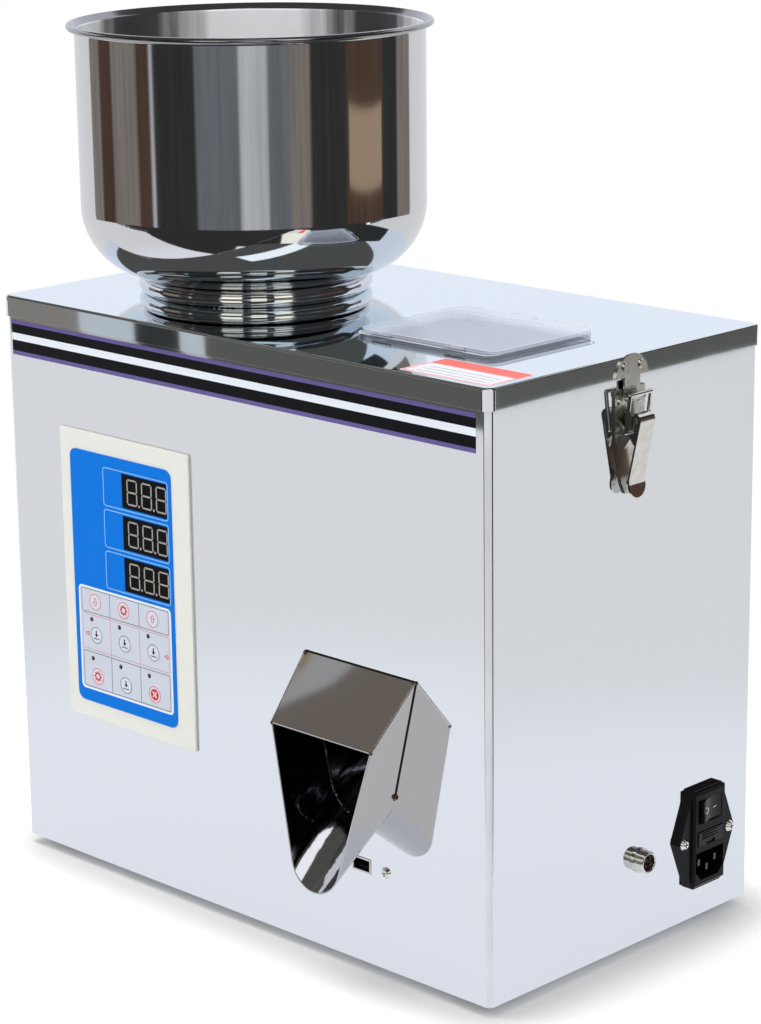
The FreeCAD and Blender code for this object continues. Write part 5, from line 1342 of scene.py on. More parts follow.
    def digit(self, form: Form, origin: Vector, depth: Vector) -> None:
        """One figure eight and its point.

        Args:
            form: Form to add to.
            origin: Lower left corner of the figure.
            depth: Thickness of the segments.
        """
        wide = self.digit_width
        half = self.digit_height / 2
        bar = self.segment
        gap = self.segment_gap
        for level in (0.0, half, 2 * half):
            start = origin + Vector((gap, 0, level))
            self.lozenge(form, start, Vector((wide - 2 * gap, 0, 0)), Vector((0, 0, bar / 2)), depth)
        for x in (0.0, wide):
            for level in (0.0, half):
                start = origin + Vector((x, 0, level + gap))
                self.lozenge(form, start, Vector((0, 0, half - 2 * gap)), Vector((bar / 2, 0, 0)), depth)
        across, over = self.point_place
        point = origin + Vector((wide + across, 0, over))
        form.rod(point, point + depth, self.point_radius, 14)

    def lozenge(self, form: Form, start: Vector, run: Vector, half: Vector, depth: Vector) -> None:
        """One segment with pointed ends.

        Args:
            form: Form to add to.
            start: First pointed end.
            run: From the first end to the other.
            half: Half the segment's width.
            depth: Its thickness.
        """
        tip = run.normalized() * half.length
        end = start + run
        points = [start, start + tip + half, end - tip + half, end, end - tip - half, start + tip - half]
        form.flat(points, depth)

    def keys(self) -> None:
        """Ring and sign on each key."""
        signs = {
            1: Sign.DOWN, 2: Sign.COG, 3: Sign.UP, 4: Sign.PRESS, 5: Sign.PRESS,
            6: Sign.PRESS, 7: Sign.COG, 8: Sign.PRESS, 9: Sign.STOP,
        }
        for number, sign in signs.items():
            centre = centre_of("key_%d" % number)
            centre.y = corner("key_%d" % number)[0].y
            KeySign(self.finishes, number, centre, sign).make()
        arrows = Form()
        for x in self.arrow_columns:
            self.arrow(arrows, self.at(x, self.arrow_row, self.ink))
        arrows.finish("feed_arrows", self.finishes.red_ink, Body.HOUSING)

    def arrow(self, form: Form, place: Vector) -> None:
        """Small arrow that points right.

        Args:
            form: Form to add to.
            place: Its left end.
        """
        shape = ((0, 0.7), (2.0, 0.7), (2.0, 1.7), (3.9, 0), (2.0, -1.7), (2.0, -0.7), (0, -0.7))
        form.flat([place + Vector((x, 0, z)) for x, z in shape], OUT * self.ink, self.arrow_line)


class Sign(Enum):
    """Signs on the keys."""

    UP = "up"
    DOWN = "down"
    PRESS = "press"
    COG = "cog"
    STOP = "stop"


@dataclass
class KeySign(Assembly):
    """Printed ring and sign of one key."""

    number: int
    centre: Vector
    sign: Sign
    ring_radius: float = 5.0
    ring_line: float = 0.42
    disc_radius: float = 3.4
    arrow_line: float = 0.38
    bar_low: Pair = (-2.4, -2.4)
    bar_high: Pair = (2.4, -1.9)
    cog_ring: Pair = (1.5, 2.5)
    tooth_reach: Pair = (2.45, 3.2)
    tooth_half: float = 0.45
    cross_reach: float = 2.2
    cross_half: float = 0.42
    ink: float = 0.04

    def make(self) -> None:
        """Print the key."""
        body = "key_%d" % self.number
        ring = Form()
        ring.ring(self.centre, OUT, self.ring_radius - self.ring_line, self.ring_radius, self.ink)
        ring_ink = self.finishes.grey_ink if self.sign is Sign.PRESS else self.finishes.red_ink
        ring.finish("key_ring_%d" % self.number, ring_ink, body)
        form = Form()
        ink = self.finishes.red_ink
        if self.sign in (Sign.UP, Sign.DOWN):
            self.arrow(form, 1 if self.sign is Sign.UP else -1)
        elif self.sign is Sign.PRESS:
            self.press(form)
            ink = self.finishes.black_ink
        elif self.sign is Sign.COG:
            self.cog(form)
        else:
            form.rod(self.centre, self.centre + OUT * self.ink, self.disc_radius, 32)
        form.finish("key_sign_%d" % self.number, ink, body)
        if self.sign is Sign.STOP:
            self.cross(body)

    def arrow(self, form: Form, way: int) -> None:
        """Hollow arrow.

        Args:
            form: Form to add to.
            way: 1 for up, -1 for down.
        """
        right = ((0.84, -2.31), (0.84, 0.0), (2.1, 0.0), (0.0, 2.52))
        shape = ((-0.84, -2.31), *right, (-2.1, 0.0), (-0.84, 0.0))
        form.flat([self.centre + Vector((x, 0, z * way)) for x, z in shape], OUT * self.ink, self.arrow_line)

    def press(self, form: Form) -> None:
        """Arrow that points down at a bar.

        Args:
            form: Form to add to.
        """
        depth = OUT * self.ink
        shape = ((-0.45, 2.8), (0.45, 2.8), (0.45, 0.6), (1.5, 0.6), (0.0, -1.2), (-1.5, 0.6), (-0.45, 0.6))
        form.flat([self.centre + Vector((x, 0, z)) for x, z in shape], depth)
        low, high = (self.centre + Vector((x, 0, z)) for x, z in (self.bar_low, self.bar_high))
        form.block(low + depth, high)

    def cog(self, form: Form) -> None:
        """Ring with eight short teeth.

        Args:
            form: Form to add to.
        """
        inner, outer = self.cog_ring
        form.ring(self.centre, OUT, inner, outer, self.ink, 32)
        root, tip = self.tooth_reach
        for step in range(8):
            turn = math.radians(45 * step)
            way = Vector((math.cos(turn), 0, math.sin(turn)))
            self.bar(form, self.centre + way * root, self.centre + way * tip, self.tooth_half)

    def cross(self, body: str) -> None:
        """Pale cross over the stop sign's disc.

        Args:
            body: Body of the key.
        """
        form = Form()
        middle = self.centre + OUT * self.ink
        for sign in (-1, 1):
            way = Vector((1, 0, sign)).normalized() * self.cross_reach
            self.bar(form, middle - way, middle + way, self.cross_half)
        form.finish("key_cross_%d" % self.number, self.finishes.white_ink, body)

    def bar(self, form: Form, near: Vector, far: Vector, half: float) -> None:
        """Straight printed bar.

        Args:
            form: Form to add to.
            near: Middle of its first end.
            far: Middle of its other end.
            half: Half its width.
        """
        way = (far - near).normalized()
        across = Vector((-way.z, 0, way.x)) * half
        form.flat([near - across, far - across, far + across, near + across], OUT * self.ink)


@dataclass
class Spout(Assembly):
    """Folded spout with its welds, and the trough behind it."""

    bead: float = 1.1
    joint: float = 0.35
    joint_gap: float = 0.1
    fold: float = 0.5
    fold_inset: float = 0.2
    fold_drop: float = 0.3
    fold_ends: Pair = (0.6, 0.4)
    spot: float = 1.7
    spot_place: Triple = (0.6, -0.5, 2.0)
    spot_squash: float = 0.6
    foot_half: float = 24.3
    foot_height: float = 104.1
    mouth_half: float = 37.3
    mouth_reach: float = 30.0
    mouth_height: float = 141.5
    weld_inset: float = 0.8
    weld_out: float = 1.0
    mouth_weld_in: float = 4.4
    mouth_weld_out: float = 29.6
    inner_drop: float = 44.0
    inner_slope: float = 30.0
    inner_tilt: float = 0.72

    def make(self) -> None:
        """Dress the spout and add its welds."""
        chute = Skin("spout", Slot.SATIN, 0.2, 25.0).make(self.finishes.satin)
        Skin("inner_trough", Slot.SATIN, 0.0, 25.0).make(self.finishes.trough)
        low, high = corner("spout")
        face = high.y

        def inside(centre: Vector, normal: Vector) -> bool:
            """Whether a face looks at the sloping middle line of the chute.

            Args:
                centre: Its centre in millimetres.
                normal: Its normal.

            Returns:
                True for the inner side.
            """
            share = (high.y - centre.y) / (high.y - low.y)
            across = (low.x + high.x) / 2 - centre.x
            above = high.z - self.inner_drop - share * self.inner_slope - centre.z
            return normal.x * across + normal.z * above > 0 and abs(normal.y) < self.inner_tilt

        tint(chute, self.finishes.trough, inside)
        form = Form()
        half = (high.x - low.x) / 2
        middle = (low.x + high.x) / 2
        welds = (
            (half - self.weld_inset, self.weld_out, high.z - self.weld_inset),
            (half - self.mouth_weld_in, self.mouth_weld_out, self.mouth_height - self.weld_inset),
        )
        for side in (-1, 1):
            for across, out, z in welds:
                form.ball(Vector((middle + side * across, face - out, z)), self.bead, 12, 8)
        form.finish("spout_welds", self.finishes.weld, Body.HOUSING)
        self.seams(middle, half, face, high.z)

    def seams(self, middle: float, half: float, face: float, top: float) -> None:
        """Painted shadow in the gap where the spout meets the panel, its folded roof edges in brighter metal
        for a painted highlight, and a weld spot.

        Args:
            middle: Centre of the spout across the panel.
            half: Half its width at the top.
            face: Place of the panel's front.
            top: Height of the roof at the panel.
        """
        # Black rods along the spout's edges at the panel: painted shadow in the gap.
        joint = Form()
        out = OUT * self.joint
        for side in (-1, 1):
            start = Vector((middle + side * (half + self.joint_gap), face, top)) + out
            foot = middle + side * (self.foot_half + self.joint_gap)
            joint.rod(start, Vector((foot, face, self.foot_height)) + out, self.joint, 10)
        left = Vector((middle - half, face, top + self.joint_gap)) + out
        joint.rod(left, left + Vector((2 * half, 0, 0)), self.joint, 10)
        joint.finish("spout_gap_painted_shadow", self.finishes.black_ink, Body.HOUSING)
        # Rods along the roof's fold edges, rounded like the fold but in brighter plated metal than the spout:
        # partly real rounding, partly a painted highlight.
        fold_highlights = Form()
        lead, tail = self.fold_ends
        roof = (half, face - lead, top)
        mouth = (self.mouth_half, face - self.mouth_reach + tail, self.mouth_height)
        for side in (-1, 1):
            start, end = (
                Vector((middle + side * (across - self.fold_inset), y, z - self.fold_drop))
                for across, y, z in (roof, mouth)
            )
            fold_highlights.rod(start, end, self.fold, 12)
        fold_highlights.finish("spout_fold_highlights", self.finishes.bright, Body.HOUSING)
        spot = Form()
        foot = Vector((middle + self.foot_half, face, self.foot_height))
        spot.ball(foot + Vector(self.spot_place), self.spot, 16, 10, self.spot_squash)
        spot.finish("spout_weld_spot", self.finishes.burn, Body.HOUSING)


@dataclass
class Window(Assembly):
    """Clear window in the lid."""

    edge_line: float = 0.7
    edge_in: float = 0.2
    edge_rise: float = 0.12
    flap_lead: float = 3.5
    frame_lead: float = 0.4
    frame_level: float = 2.0
    corner_round: float = 5.8

    def make(self) -> None:
        """Dress the frame, the flap and the hinge pins."""
        Skin("window_frame", Slot.CLEAR, 0.3).make(self.finishes.acrylic)
        Skin("window_flap", Slot.CLEAR, 0.3).make(self.finishes.acrylic)
        wear("lid_pins", self.finishes.plated)
        self.edges()

    def edges(self) -> None:
        """Painted highlights: bright lines along the cut edges, where they gather light."""
        low, high = corner("window_flap")
        inner = self.edge_in
        level = high.z - self.edge_rise * 1.5
        near = Vector((low.x + inner, low.y + self.flap_lead, level))
        self.edge("flap_edges", near, Vector((high.x - inner, high.y - self.flap_lead, level)), Body.FLAP)
        low, high = corner("window_frame")
        level = low.z + self.frame_level
        near = Vector((low.x + inner, low.y + self.frame_lead, level))
        self.edge("frame_edges", near, Vector((high.x - inner, high.y - inner, level)), Body.LID)

    def edge(self, name: str, near: Vector, far: Vector, body: Body) -> None:
        """One painted highlight line round a sheet.

        Args:
            name: Name of the piece.
            near: One corner of the line.
            far: The opposite corner.
            body: Body that the sheet rides on.
        """
        form = Form()
        form.outline(near, far, UP * self.edge_rise, self.corner_round, self.edge_line)
        form.finish(name, self.finishes.painted_edge_highlight, body)


@dataclass
class Latches(Assembly):
    """Toggle latches on both sides."""

    def make(self) -> None:
        """Dress the latches' nodes."""
        Skin("latch_bases", Slot.PLATED, 0.15).make(self.finishes.plated)
        Skin("latch_pins", Slot.PLATED, 0.1).make(self.finishes.plated)
        Skin("lid_keepers", Slot.PLATED, 0.2).make(self.finishes.plated)
        for side in ("right", "left"):
            Skin("latch_lever_%s" % side, Slot.PLATED, 0.2).make(self.finishes.bright)
            Skin("latch_bail_%s" % side, Slot.PLATED, 0.0, 50.0).make(self.finishes.bright)


@dataclass
class SideSockets(Assembly):
    """Mains inlet, round socket and data socket."""

    ridge: float = 0.5
    thread_length: float = 5.2
    thread_pitch: float = 0.85
    thread_lead: float = 0.6
    tilt: float = 8.0
    rocker_reach: float = 6.9
    rocker_shift: float = 0.4
    mark_depth: float = 4.33
    mark_offset: float = 4.6
    screw_pitch: float = 40.0
    cross_long: float = 1.7
    cross_wide: float = 0.35
    cross_depth: float = 0.4
    cross_rise: float = 0.03
    port_wall: float = 1.9
    port_lip: float = 0.1
    thread_radius: float = 5.95
    thread_wire: float = 0.26
    ridge_count: int = 3
    ridge_start: float = 3.4
    ridge_pitch: float = 1.5
    ridge_height: float = 0.7
    ridge_inset: float = 3.0
    ridge_root: float = 0.05
    ridge_round: float = 0.2
    mark_ring: Pair = (1.35, 1.85)
    mark_bar: Pair = (2.3, 0.22)
    mark_rise: float = 0.25

    def make(self) -> None:
        """Dress the sockets and add their small marks."""
        Skin("inlet_body", Slot.BLACK, 0.3).make(self.finishes.black)
        Skin("fuse_drawer", Slot.BLACK, 0.2).make(self.finishes.satin_black)
        Skin("power_rocker", Slot.BLACK, 0.4).make(self.finishes.satin_black)
        Skin("face_screws", Slot.PLATED, 0.15).make(self.finishes.bright)
        Skin("contact_pins", Slot.BRASS, 0.2).make(self.finishes.spring)
        Skin("sensor_socket", Slot.PLATED, 0.2).make(self.finishes.bright)
        Skin("socket_insert", Slot.BLACK, 0.1).make(self.finishes.brown)
        socket = Skin("data_socket", Slot.PLATED, 0.1).make(self.finishes.plated)
        low, high = corner("data_socket")

        def mouth(centre: Vector, _normal: Vector) -> bool:
            """Whether a face lies within the data socket's opening, by its centre alone."""
            wall = self.port_wall
            across = low.x + wall < centre.x < high.x - wall
            return across and low.z + wall < centre.z < high.z - wall and centre.y > low.y + self.port_lip

        tint(socket, self.finishes.black, mouth)
        self.threads()
        self.ridges()
        self.marks()
        self.recess_shade_crosses()

    def recess_shade_crosses(self) -> None:
        """Cross recesses in the two screws of the inlet, drawn as a black cross on each head: painted shade
        in the recesses.
        """
        middle = centre_of("inlet_body")
        face = corner("face_screws")[1].x
        form = Form()
        for side in (-1, 1):
            head = Vector((face, middle.y + side * self.screw_pitch / 2, middle.z))
            for long, wide in ((self.cross_long, self.cross_wide), (self.cross_wide, self.cross_long)):
                low = head + Vector((-self.cross_depth, -long, -wide))
                form.block(low, head + Vector((self.cross_rise, long, wide)))
        form.finish("screw_recess_painted_shade", self.finishes.black_ink, Body.HOUSING)

    def threads(self) -> None:
        """Crests of the round socket's thread."""
        end = corner("sensor_socket")[1].x
        crest = centre_of("socket_insert")
        crest.x = end - self.thread_length
        form = Form()
        while crest.x < end - self.thread_lead:
            form.bead(crest, Vector((1, 0, 0)), self.thread_radius, self.thread_wire)
            crest.x += self.thread_pitch
        form.finish("socket_thread", self.finishes.bright, Body.HOUSING, 60.0)

    def ridges(self) -> None:
        """Grip ridges on the fuse drawer's face."""
        low, high = corner("fuse_drawer")
        form = Form()
        for step in range(self.ridge_count):
            z = low.z + self.ridge_start + step * self.ridge_pitch
            start = Vector((high.x - self.ridge_root, low.y + self.ridge_inset, z))
            end = Vector((high.x + self.ridge, high.y - self.ridge_inset, z + self.ridge_height))
            form.block(start, end, self.ridge_round)
        form.finish("drawer_ridges", self.finishes.satin_black, Body.DRAWER)

    def marks(self) -> None:
        """Ring for off and bar for on, on the rocker's face."""
        middle = centre_of("power_rocker")
        tilt = math.radians(self.tilt)
        form = Form()
        out = Vector((math.cos(tilt), math.sin(tilt), 0))
        across = Vector((-math.sin(tilt), math.cos(tilt), 0))
        face = corner("power_rocker")[1].x
        pivot = Vector((face - self.rocker_reach, middle.y - self.rocker_shift, middle.z))
        inner, outer = self.mark_ring
        ring = pivot - across * self.mark_offset + out * self.mark_depth
        form.ring(ring, out, inner, outer, self.mark_rise, 28)
        bar = pivot + across * self.mark_offset + out * self.mark_depth
        side = across * self.mark_bar[0]
        up = UP * self.mark_bar[1]
        form.flat([bar - side - up, bar + side - up, bar + side + up, bar - side + up], out * self.mark_rise)
        form.finish("rocker_marks", self.finishes.mark, Body.ROCKER)


@dataclass
class Insides(Assembly):
    """Feeder, weigher and boards inside the case."""

    def make(self) -> None:
        """Give each inner node its finish."""
        finishes = self.finishes
        coats = (
            (finishes.zinc, ("feeder_deck", "cell_mounts")),
            (finishes.rubber, ("feeder_mounts",)),
            (finishes.iron, ("feeder_base",)),
            (finishes.spring, ("leaf_springs", "spring_clamps", "magnet_core", "drive_disc")),
            (finishes.copper, ("magnet_coil",)),
            (finishes.alloy, ("tray_bracket", "load_cell")),
            (finishes.satin, ("feed_tray", "weigh_bucket", "bucket_door")),
            (finishes.motor, ("door_motor",)),
            (finishes.brass, ("board_posts",)),
            (finishes.board, ("control_board",)),
        )
        for material, nodes in coats:
            for node in nodes:
                wear(node, material)


# Studio


class Tone(Enum):
    """Tones of the boards that only the bright metal mirrors."""

    DARK = "2D2D2D"
    MID = "4E4D49"
    BROWN = "47382F"
    TAN = "94816B"
    SLATE = "606367"
    GREY = "746D68"
    PALE = "A6A8AB"
    CLOTH = "DBDADB"
    LAMP = "FFF6E2"
    WHITE = "FFFFFF"


@dataclass
class Studio:
    """Camera, lights, floor and the boards that the bright metal mirrors, in metres and degrees."""

    image_width: int = 761
    image_height: int = 1024
    sensor_mm: float = 36.0
    eye_mm: Triple = (1150.98, -1144.78, 656.24)
    azimuth: float = 44.59
    pitch: float = 14.90
    roll: float = -0.732
    focal_px: float = 2981.1
    centre_px: Pair = (377.46, 507.37)
    clip: Pair = (0.05, 60.0)
    sky_seen: str = "EEF1FA"
    sky_light: str = "E4E8EE"
    sky_strength: float = 0.75
    floor_size: float = 8.0
    floor_colour: str = "F7F4F0"
    floor_roughness: float = 0.7
    floor_near: str = "F3F6FD"
    floor_far: str = "E6E7E8"
    floor_mirror: float = 0.9
    # Axis, middle and half width of the case on the floor, where the contact shadow lies.
    shadow_sides: tuple[tuple[str, float, float], ...] = (("X", 0.0, 0.188), ("Y", 0.0177, 0.107))
    # Start and end of the painted contact shadow, a soft rise of the camera's glow from the case's edge
    # outwards, and its height.
    painted_shadow_rise: Triple = (-0.004, 0.045, 0.40)
    mirror_rise: Triple = (0.42, 0.72, 1.0)
    white_rise: Triple = (0.30, 0.62, 1.0)
    bowl_axis: Pair = (-0.0947, 0.0210)
    room_radius: float = 1.9
    lamp_gap: float = 0.1
    box_gap: float = 0.06
    room_half: float = 125.0
    room_soft: float = 0.7
    room_steps: int = 100
    wall_top: float = 0.6
    ceiling_height: float = 1.5
    edge_top: float = 0.06
    floor_lift: float = 0.002
    mirror_gain: float = 1.35
    cloud_mm: float = 110.0
    cloud_draw: float = 0.45
    cloud_uneven: Pair = (0.55, 1.45)
    # End of each upright strip of the room's wall, round from the camera's side, and its tone.
    room: tuple[tuple[float, Tone], ...] = (
        (-112.5, Tone.GREY),
        (-99.0, Tone.BROWN),
        (-76.0, Tone.GREY),
        (-65.5, Tone.BROWN),
        (-63.0, Tone.PALE),
        (-34.0, Tone.DARK),
        (-6.0, Tone.SLATE),
        (12.0, Tone.PALE),
        (26.0, Tone.SLATE),
        (39.0, Tone.GREY),
        (64.0, Tone.DARK),
        (94.0, Tone.BROWN),
        (109.0, Tone.DARK),
        (125.0, Tone.GREY),
    )
    room_box: tuple[Pair, Pair] = ((66.0, 93.0), (0.125, 0.22))
    upper_first: float = -105.0
    upper_step: float = 30.0
    upper_count: int = 7
    # Span in degrees and rise in metres of each lamp on the wall.
    room_lamps: tuple[tuple[Pair, Pair], ...] = (
        ((-33.0, -12.0), (0.65, 1.45)),
        ((-3.0, 12.0), (0.42, 0.85)),
        ((20.0, 38.0), (0.75, 1.45)),
    )
    ceiling: tuple[Pair, ...] = ((-2.0, -2.0), (2.0, -2.0), (2.0, 1.3), (-2.0, 1.3))
    # Name, height, tone and corners of the boards under the ceiling.
    overhead: tuple[tuple[str, float, Tone, tuple[Pair, ...]], ...] = (
        ("patch", 1.49, Tone.GREY, ((-1.75, -1.15), (-1.0, -1.15), (-1.0, -0.6), (-1.75, -0.6))),
        ("beam", 1.48, Tone.PALE, (
            (-1.405, -0.84), (-1.44, -0.88), (-1.29, -0.80), (-1.22, -0.74), (-1.30, -0.74), (-1.335, -0.785),
        )),
        ("board", 1.48, Tone.TAN, (
            (-1.60, -0.84), (-1.405, -0.84), (-1.335, -0.785), (-1.30, -0.74), (-1.60, -0.74),
        )),
        ("lamp", 1.46, Tone.WHITE, ((0.35, -0.75), (1.7, -0.45), (1.7, 0.0), (0.35, -0.45))),
    )
    room_floor: tuple[Pair, ...] = (
        (-2.1, -1.08), (-0.70, -1.08), (1.13, 0.723), (1.13, 1.9), (2.2, 1.9), (2.2, -2.3), (-2.1, -2.3),
    )
    table_patch: tuple[Pair, ...] = ((0.06, -0.28), (0.24, -0.10), (0.42, -0.28), (0.24, -0.46))
    # Ends and tone of the upright boards along the table's edge.
    table_edge: tuple[tuple[Pair, Pair, Tone], ...] = (
        ((-1.50, -1.06), (-1.29, -1.06), Tone.GREY),
        ((-1.29, -1.06), (-1.20, -1.06), Tone.PALE),
        ((-1.20, -1.06), (-1.13, -1.06), Tone.DARK),
        ((-1.13, -1.06), (-1.09, -1.06), Tone.PALE),
        ((-1.09, -1.06), (-0.64, -1.06), Tone.MID),
        ((1.13, 0.74), (1.13, 0.84), Tone.DARK),
        ((1.13, 0.84), (1.13, 0.94), Tone.WHITE),
        ((1.13, 0.94), (1.13, 1.55), Tone.MID),
    )
    # Name, place, height that it faces, side and power in watts of the soft lamps.
    softboxes: tuple[tuple[str, Triple, float, float, float], ...] = (
        ("top_softbox", (-0.3, -0.2, 2.2), 0.1, 1.6, 26.0),
        ("left_softbox", (-1.9, -1.5, 1.5), 0.2, 1.0, 14.0),
        ("right_softbox", (1.9, -0.6, 1.4), 0.2, 1.0, 8.0),
    )

    def make(self) -> None:
        """Set up the view, the world, the floor, the boards and the lamps."""
        self.camera()
        self.world()
        self.floor()
        self.cards()
        for box in self.softboxes:
            self.softbox(*box)

    def camera(self) -> None:
        """Camera at the photograph's viewing angle."""
        around, down, lean = (math.radians(angle) for angle in (self.azimuth, self.pitch, self.roll))
        level = math.cos(down)
        ahead = Vector((-math.sin(around) * level, math.cos(around) * level, -math.sin(down)))
        right = ahead.cross(UP).normalized()
        up = right.cross(ahead)
        side = math.cos(lean) * right + math.sin(lean) * up
        top = -math.sin(lean) * right + math.cos(lean) * up
        data = bpy.data.cameras.new("camera")
        data.sensor_width = self.sensor_mm
        data.lens = self.focal_px * data.sensor_width / self.image_height
        data.shift_x = (self.image_width / 2 - self.centre_px[0]) / self.image_height
        data.shift_y = (self.centre_px[1] - self.image_height / 2) / self.image_height
        data.clip_start, data.clip_end = self.clip
        eye = bpy.data.objects.new("camera", data)
        bpy.context.scene.collection.objects.link(eye)
        turn = Matrix((side, top, -ahead)).transposed().to_4x4()
        eye.matrix_world = Matrix.Translation(Vector(self.eye_mm) * MM) @ turn
        bpy.context.scene.camera = eye

    def world(self) -> None:
        """Even pale light from all round, paler where the camera, a mirror or the window sees it."""
        scene = bpy.context.scene
        scene.view_settings.view_transform = "Standard"
        scene.world = bpy.data.worlds.new("studio")
        scene.world.use_nodes = True
        tree = Tree(scene.world.node_tree)
        path = tree.add("ShaderNodeLightPath")
        inputs = {0: (path, "Is Camera Ray"), 1: (path, "Is Glossy Ray")}
        either = tree.add("ShaderNodeMath", inputs, operation="MAXIMUM")
        inputs = {0: (either, "Value"), 1: (path, "Is Transmission Ray")}
        seen = tree.add("ShaderNodeMath", inputs, operation="MAXIMUM")
        inputs = {"Color": linear(self.sky_light), "Strength": self.sky_strength}
        light = tree.add("ShaderNodeBackground", inputs)
        sky = tree.add("ShaderNodeBackground", {"Color": linear(self.sky_seen), "Strength": 1.0})
        mix = tree.add("ShaderNodeMixShader", {"Fac": (seen, "Value"), 1: (light, 0), 2: (sky, 0)})
        tree.add("ShaderNodeOutputWorld", {"Surface": (mix, 0)})

    def floor(self) -> None:
        """Pale floor that keeps the machine's shadow, with a painted contact shadow round the case, and turns
        white farther out.
        """
        graph = Graph("pale_floor")
        graph.set(Base_Color=linear(self.floor_colour), Roughness=self.floor_roughness)
        path = graph.add("ShaderNodeLightPath")
        inputs = {0: (path, "Is Camera Ray"), 1: (path, "Is Transmission Ray")}
        either = graph.add("ShaderNodeMath", inputs, operation="MAXIMUM")
        spot = graph.add("ShaderNodeTexCoord")
        parts = graph.add("ShaderNodeSeparateXYZ", {"Vector": (spot, "Object")})
        sides = {}
        for number, (axis, middle, half) in enumerate(self.shadow_sides):
            away = graph.add("ShaderNodeMath", {0: (parts, axis), 1: middle}, operation="SUBTRACT")
            size = graph.add("ShaderNodeMath", {0: (away, "Value")}, operation="ABSOLUTE")
            side = graph.add("ShaderNodeMath", {0: (size, "Value"), 1: half}, operation="SUBTRACT")
            sides[number] = (side, "Value")
        edge = graph.add("ShaderNodeMath", sides, operation="MAXIMUM")
        length = graph.add("ShaderNodeVectorMath", {0: (spot, "Object")}, operation="LENGTH")
        rises = ((edge, self.painted_shadow_rise), (length, self.mirror_rise), (length, self.white_rise))
        painted_light_lift, fade, reach = (
            graph.add(
                "ShaderNodeMapRange",
                {"Value": (source, "Value"), "From Min": start, "From Max": end, "To Max": top},
                interpolation_type="SMOOTHSTEP",
            )
            for source, (start, end, top) in rises
        )
        products = (
            {0: (painted_light_lift, "Result"), 1: (path, "Is Camera Ray")},
            {0: (either, "Value"), 1: (reach, "Result")},
            {0: (path, "Is Glossy Ray"), 1: self.floor_mirror},
        )
        seen, share, glossy = (graph.add("ShaderNodeMath", pair, operation="MULTIPLY") for pair in products)
        inputs = {"A": linear(self.floor_near), "B": linear(self.floor_far), "Factor": (fade, "Result")}
        tone = graph.add("ShaderNodeMix", inputs, data_type="RGBA")
        white = linear(Tone.WHITE.value)
        # Glow for the camera, held off at the case's edge and rising over a few centimetres: a painted
        # contact shadow.
        painted_shadow_fill = graph.add("ShaderNodeEmission", {"Color": white, "Strength": (seen, "Value")})
        bright = graph.add("ShaderNodeEmission", {"Color": white, "Strength": 1.0})
        mirrored = graph.add("ShaderNodeEmission", {"Color": (tone, "Result"), "Strength": 1.0})
        lit = graph.add("ShaderNodeAddShader", {0: (graph.shader, "BSDF"), 1: (painted_shadow_fill, "Emission")})
        inputs = {"Fac": (share, "Value"), 1: (lit, "Shader"), 2: (bright, "Emission")}
        first = graph.add("ShaderNodeMixShader", inputs)
        inputs = {"Fac": (glossy, "Value"), 1: (first, "Shader"), 2: (mirrored, "Emission")}
        second = graph.add("ShaderNodeMixShader", inputs)
        graph.link(second, "Shader", graph.output, "Surface")
        form = bmesh.new()
        bmesh.ops.create_grid(form, x_segments=1, y_segments=1, size=self.floor_size)
        set_out("floor", form, graph.material)

    def cards(self) -> None:
        """Boards of a dim room that only the bright metal mirrors, with its lamps and its table."""
        self.room_wall()
        self.wall("room_box", *self.room_box, self.room_radius - self.box_gap, Tone.TAN)
        for number in range(self.upper_count):
            first = self.upper_first + number * self.upper_step
            span = (first, first + self.upper_step)
            rise = (self.wall_top, self.ceiling_height)
            self.wall("room_upper_%d" % (number + 1), span, rise, self.room_radius, Tone.DARK)
        for number, (span, rise) in enumerate(self.room_lamps, start=1):
            self.wall("room_lamp_%d" % number, span, rise, self.room_radius - self.lamp_gap, Tone.LAMP)
        self.level("ceiling", self.ceiling, self.ceiling_height, Tone.MID)
        for name, height, tone, corners in self.overhead:
            self.level("ceiling_" + name, corners, height, tone)
        self.level("room_floor", self.room_floor, self.floor_lift, Tone.DARK)
        self.level("table_patch", self.table_patch, 2 * self.floor_lift, Tone.CLOTH)
        for number, (start, end, tone) in enumerate(self.table_edge, start=1):
            self.upright("table_edge_%02d" % number, start, end, (0.0, self.edge_top), tone)

    def room_wall(self) -> None:
        """Curved wall of the dim room, in upright strips of a few tones with soft edges and clouds."""
        graph = Graph("room_wall")
        turn = (0.0, 0.0, math.radians(90.0 - self.azimuth))
        moved = graph.place(Location=(-self.bowl_axis[0], -self.bowl_axis[1], 0.0))
        spot = graph.add("ShaderNodeMapping", {"Vector": (moved, "Vector"), "Rotation": turn})
        parts = graph.add("ShaderNodeSeparateXYZ", {"Vector": (spot, "Vector")})
        angle = graph.add("ShaderNodeMath", {0: (parts, "Y"), 1: (parts, "X")}, operation="ARCTAN2")
        half = math.radians(self.room_half)
        inputs = {"Value": (angle, "Value"), "From Min": -half, "From Max": half}
        share = graph.add("ShaderNodeMapRange", inputs)
        ramp = graph.add("ShaderNodeValToRGB", {"Fac": (share, "Result")})
        ramp.color_ramp.interpolation = "LINEAR"
        stops = ramp.color_ramp.elements
        start = -self.room_half
        for end, tone in self.room:
            for edge in (start + self.room_soft, end - self.room_soft):
                stop = stops.new((edge + self.room_half) / (2 * self.room_half))
                stop.color = linear(tone.value)
            start = end
        stops.remove(stops[0])
        stops.remove(stops[-1])
        cloud = graph.grain(self.cloud_mm, 3.0, (1.0, 1.0, self.cloud_draw))
        glow = graph.add("ShaderNodeEmission", {"Color": (ramp, "Color")})
        low, high = self.cloud_uneven
        graph.drive(glow, "Strength", cloud, (self.mirror_gain * low, self.mirror_gain * high))
        graph.link(glow, "Emission", graph.output, "Surface")
        form = bmesh.new()
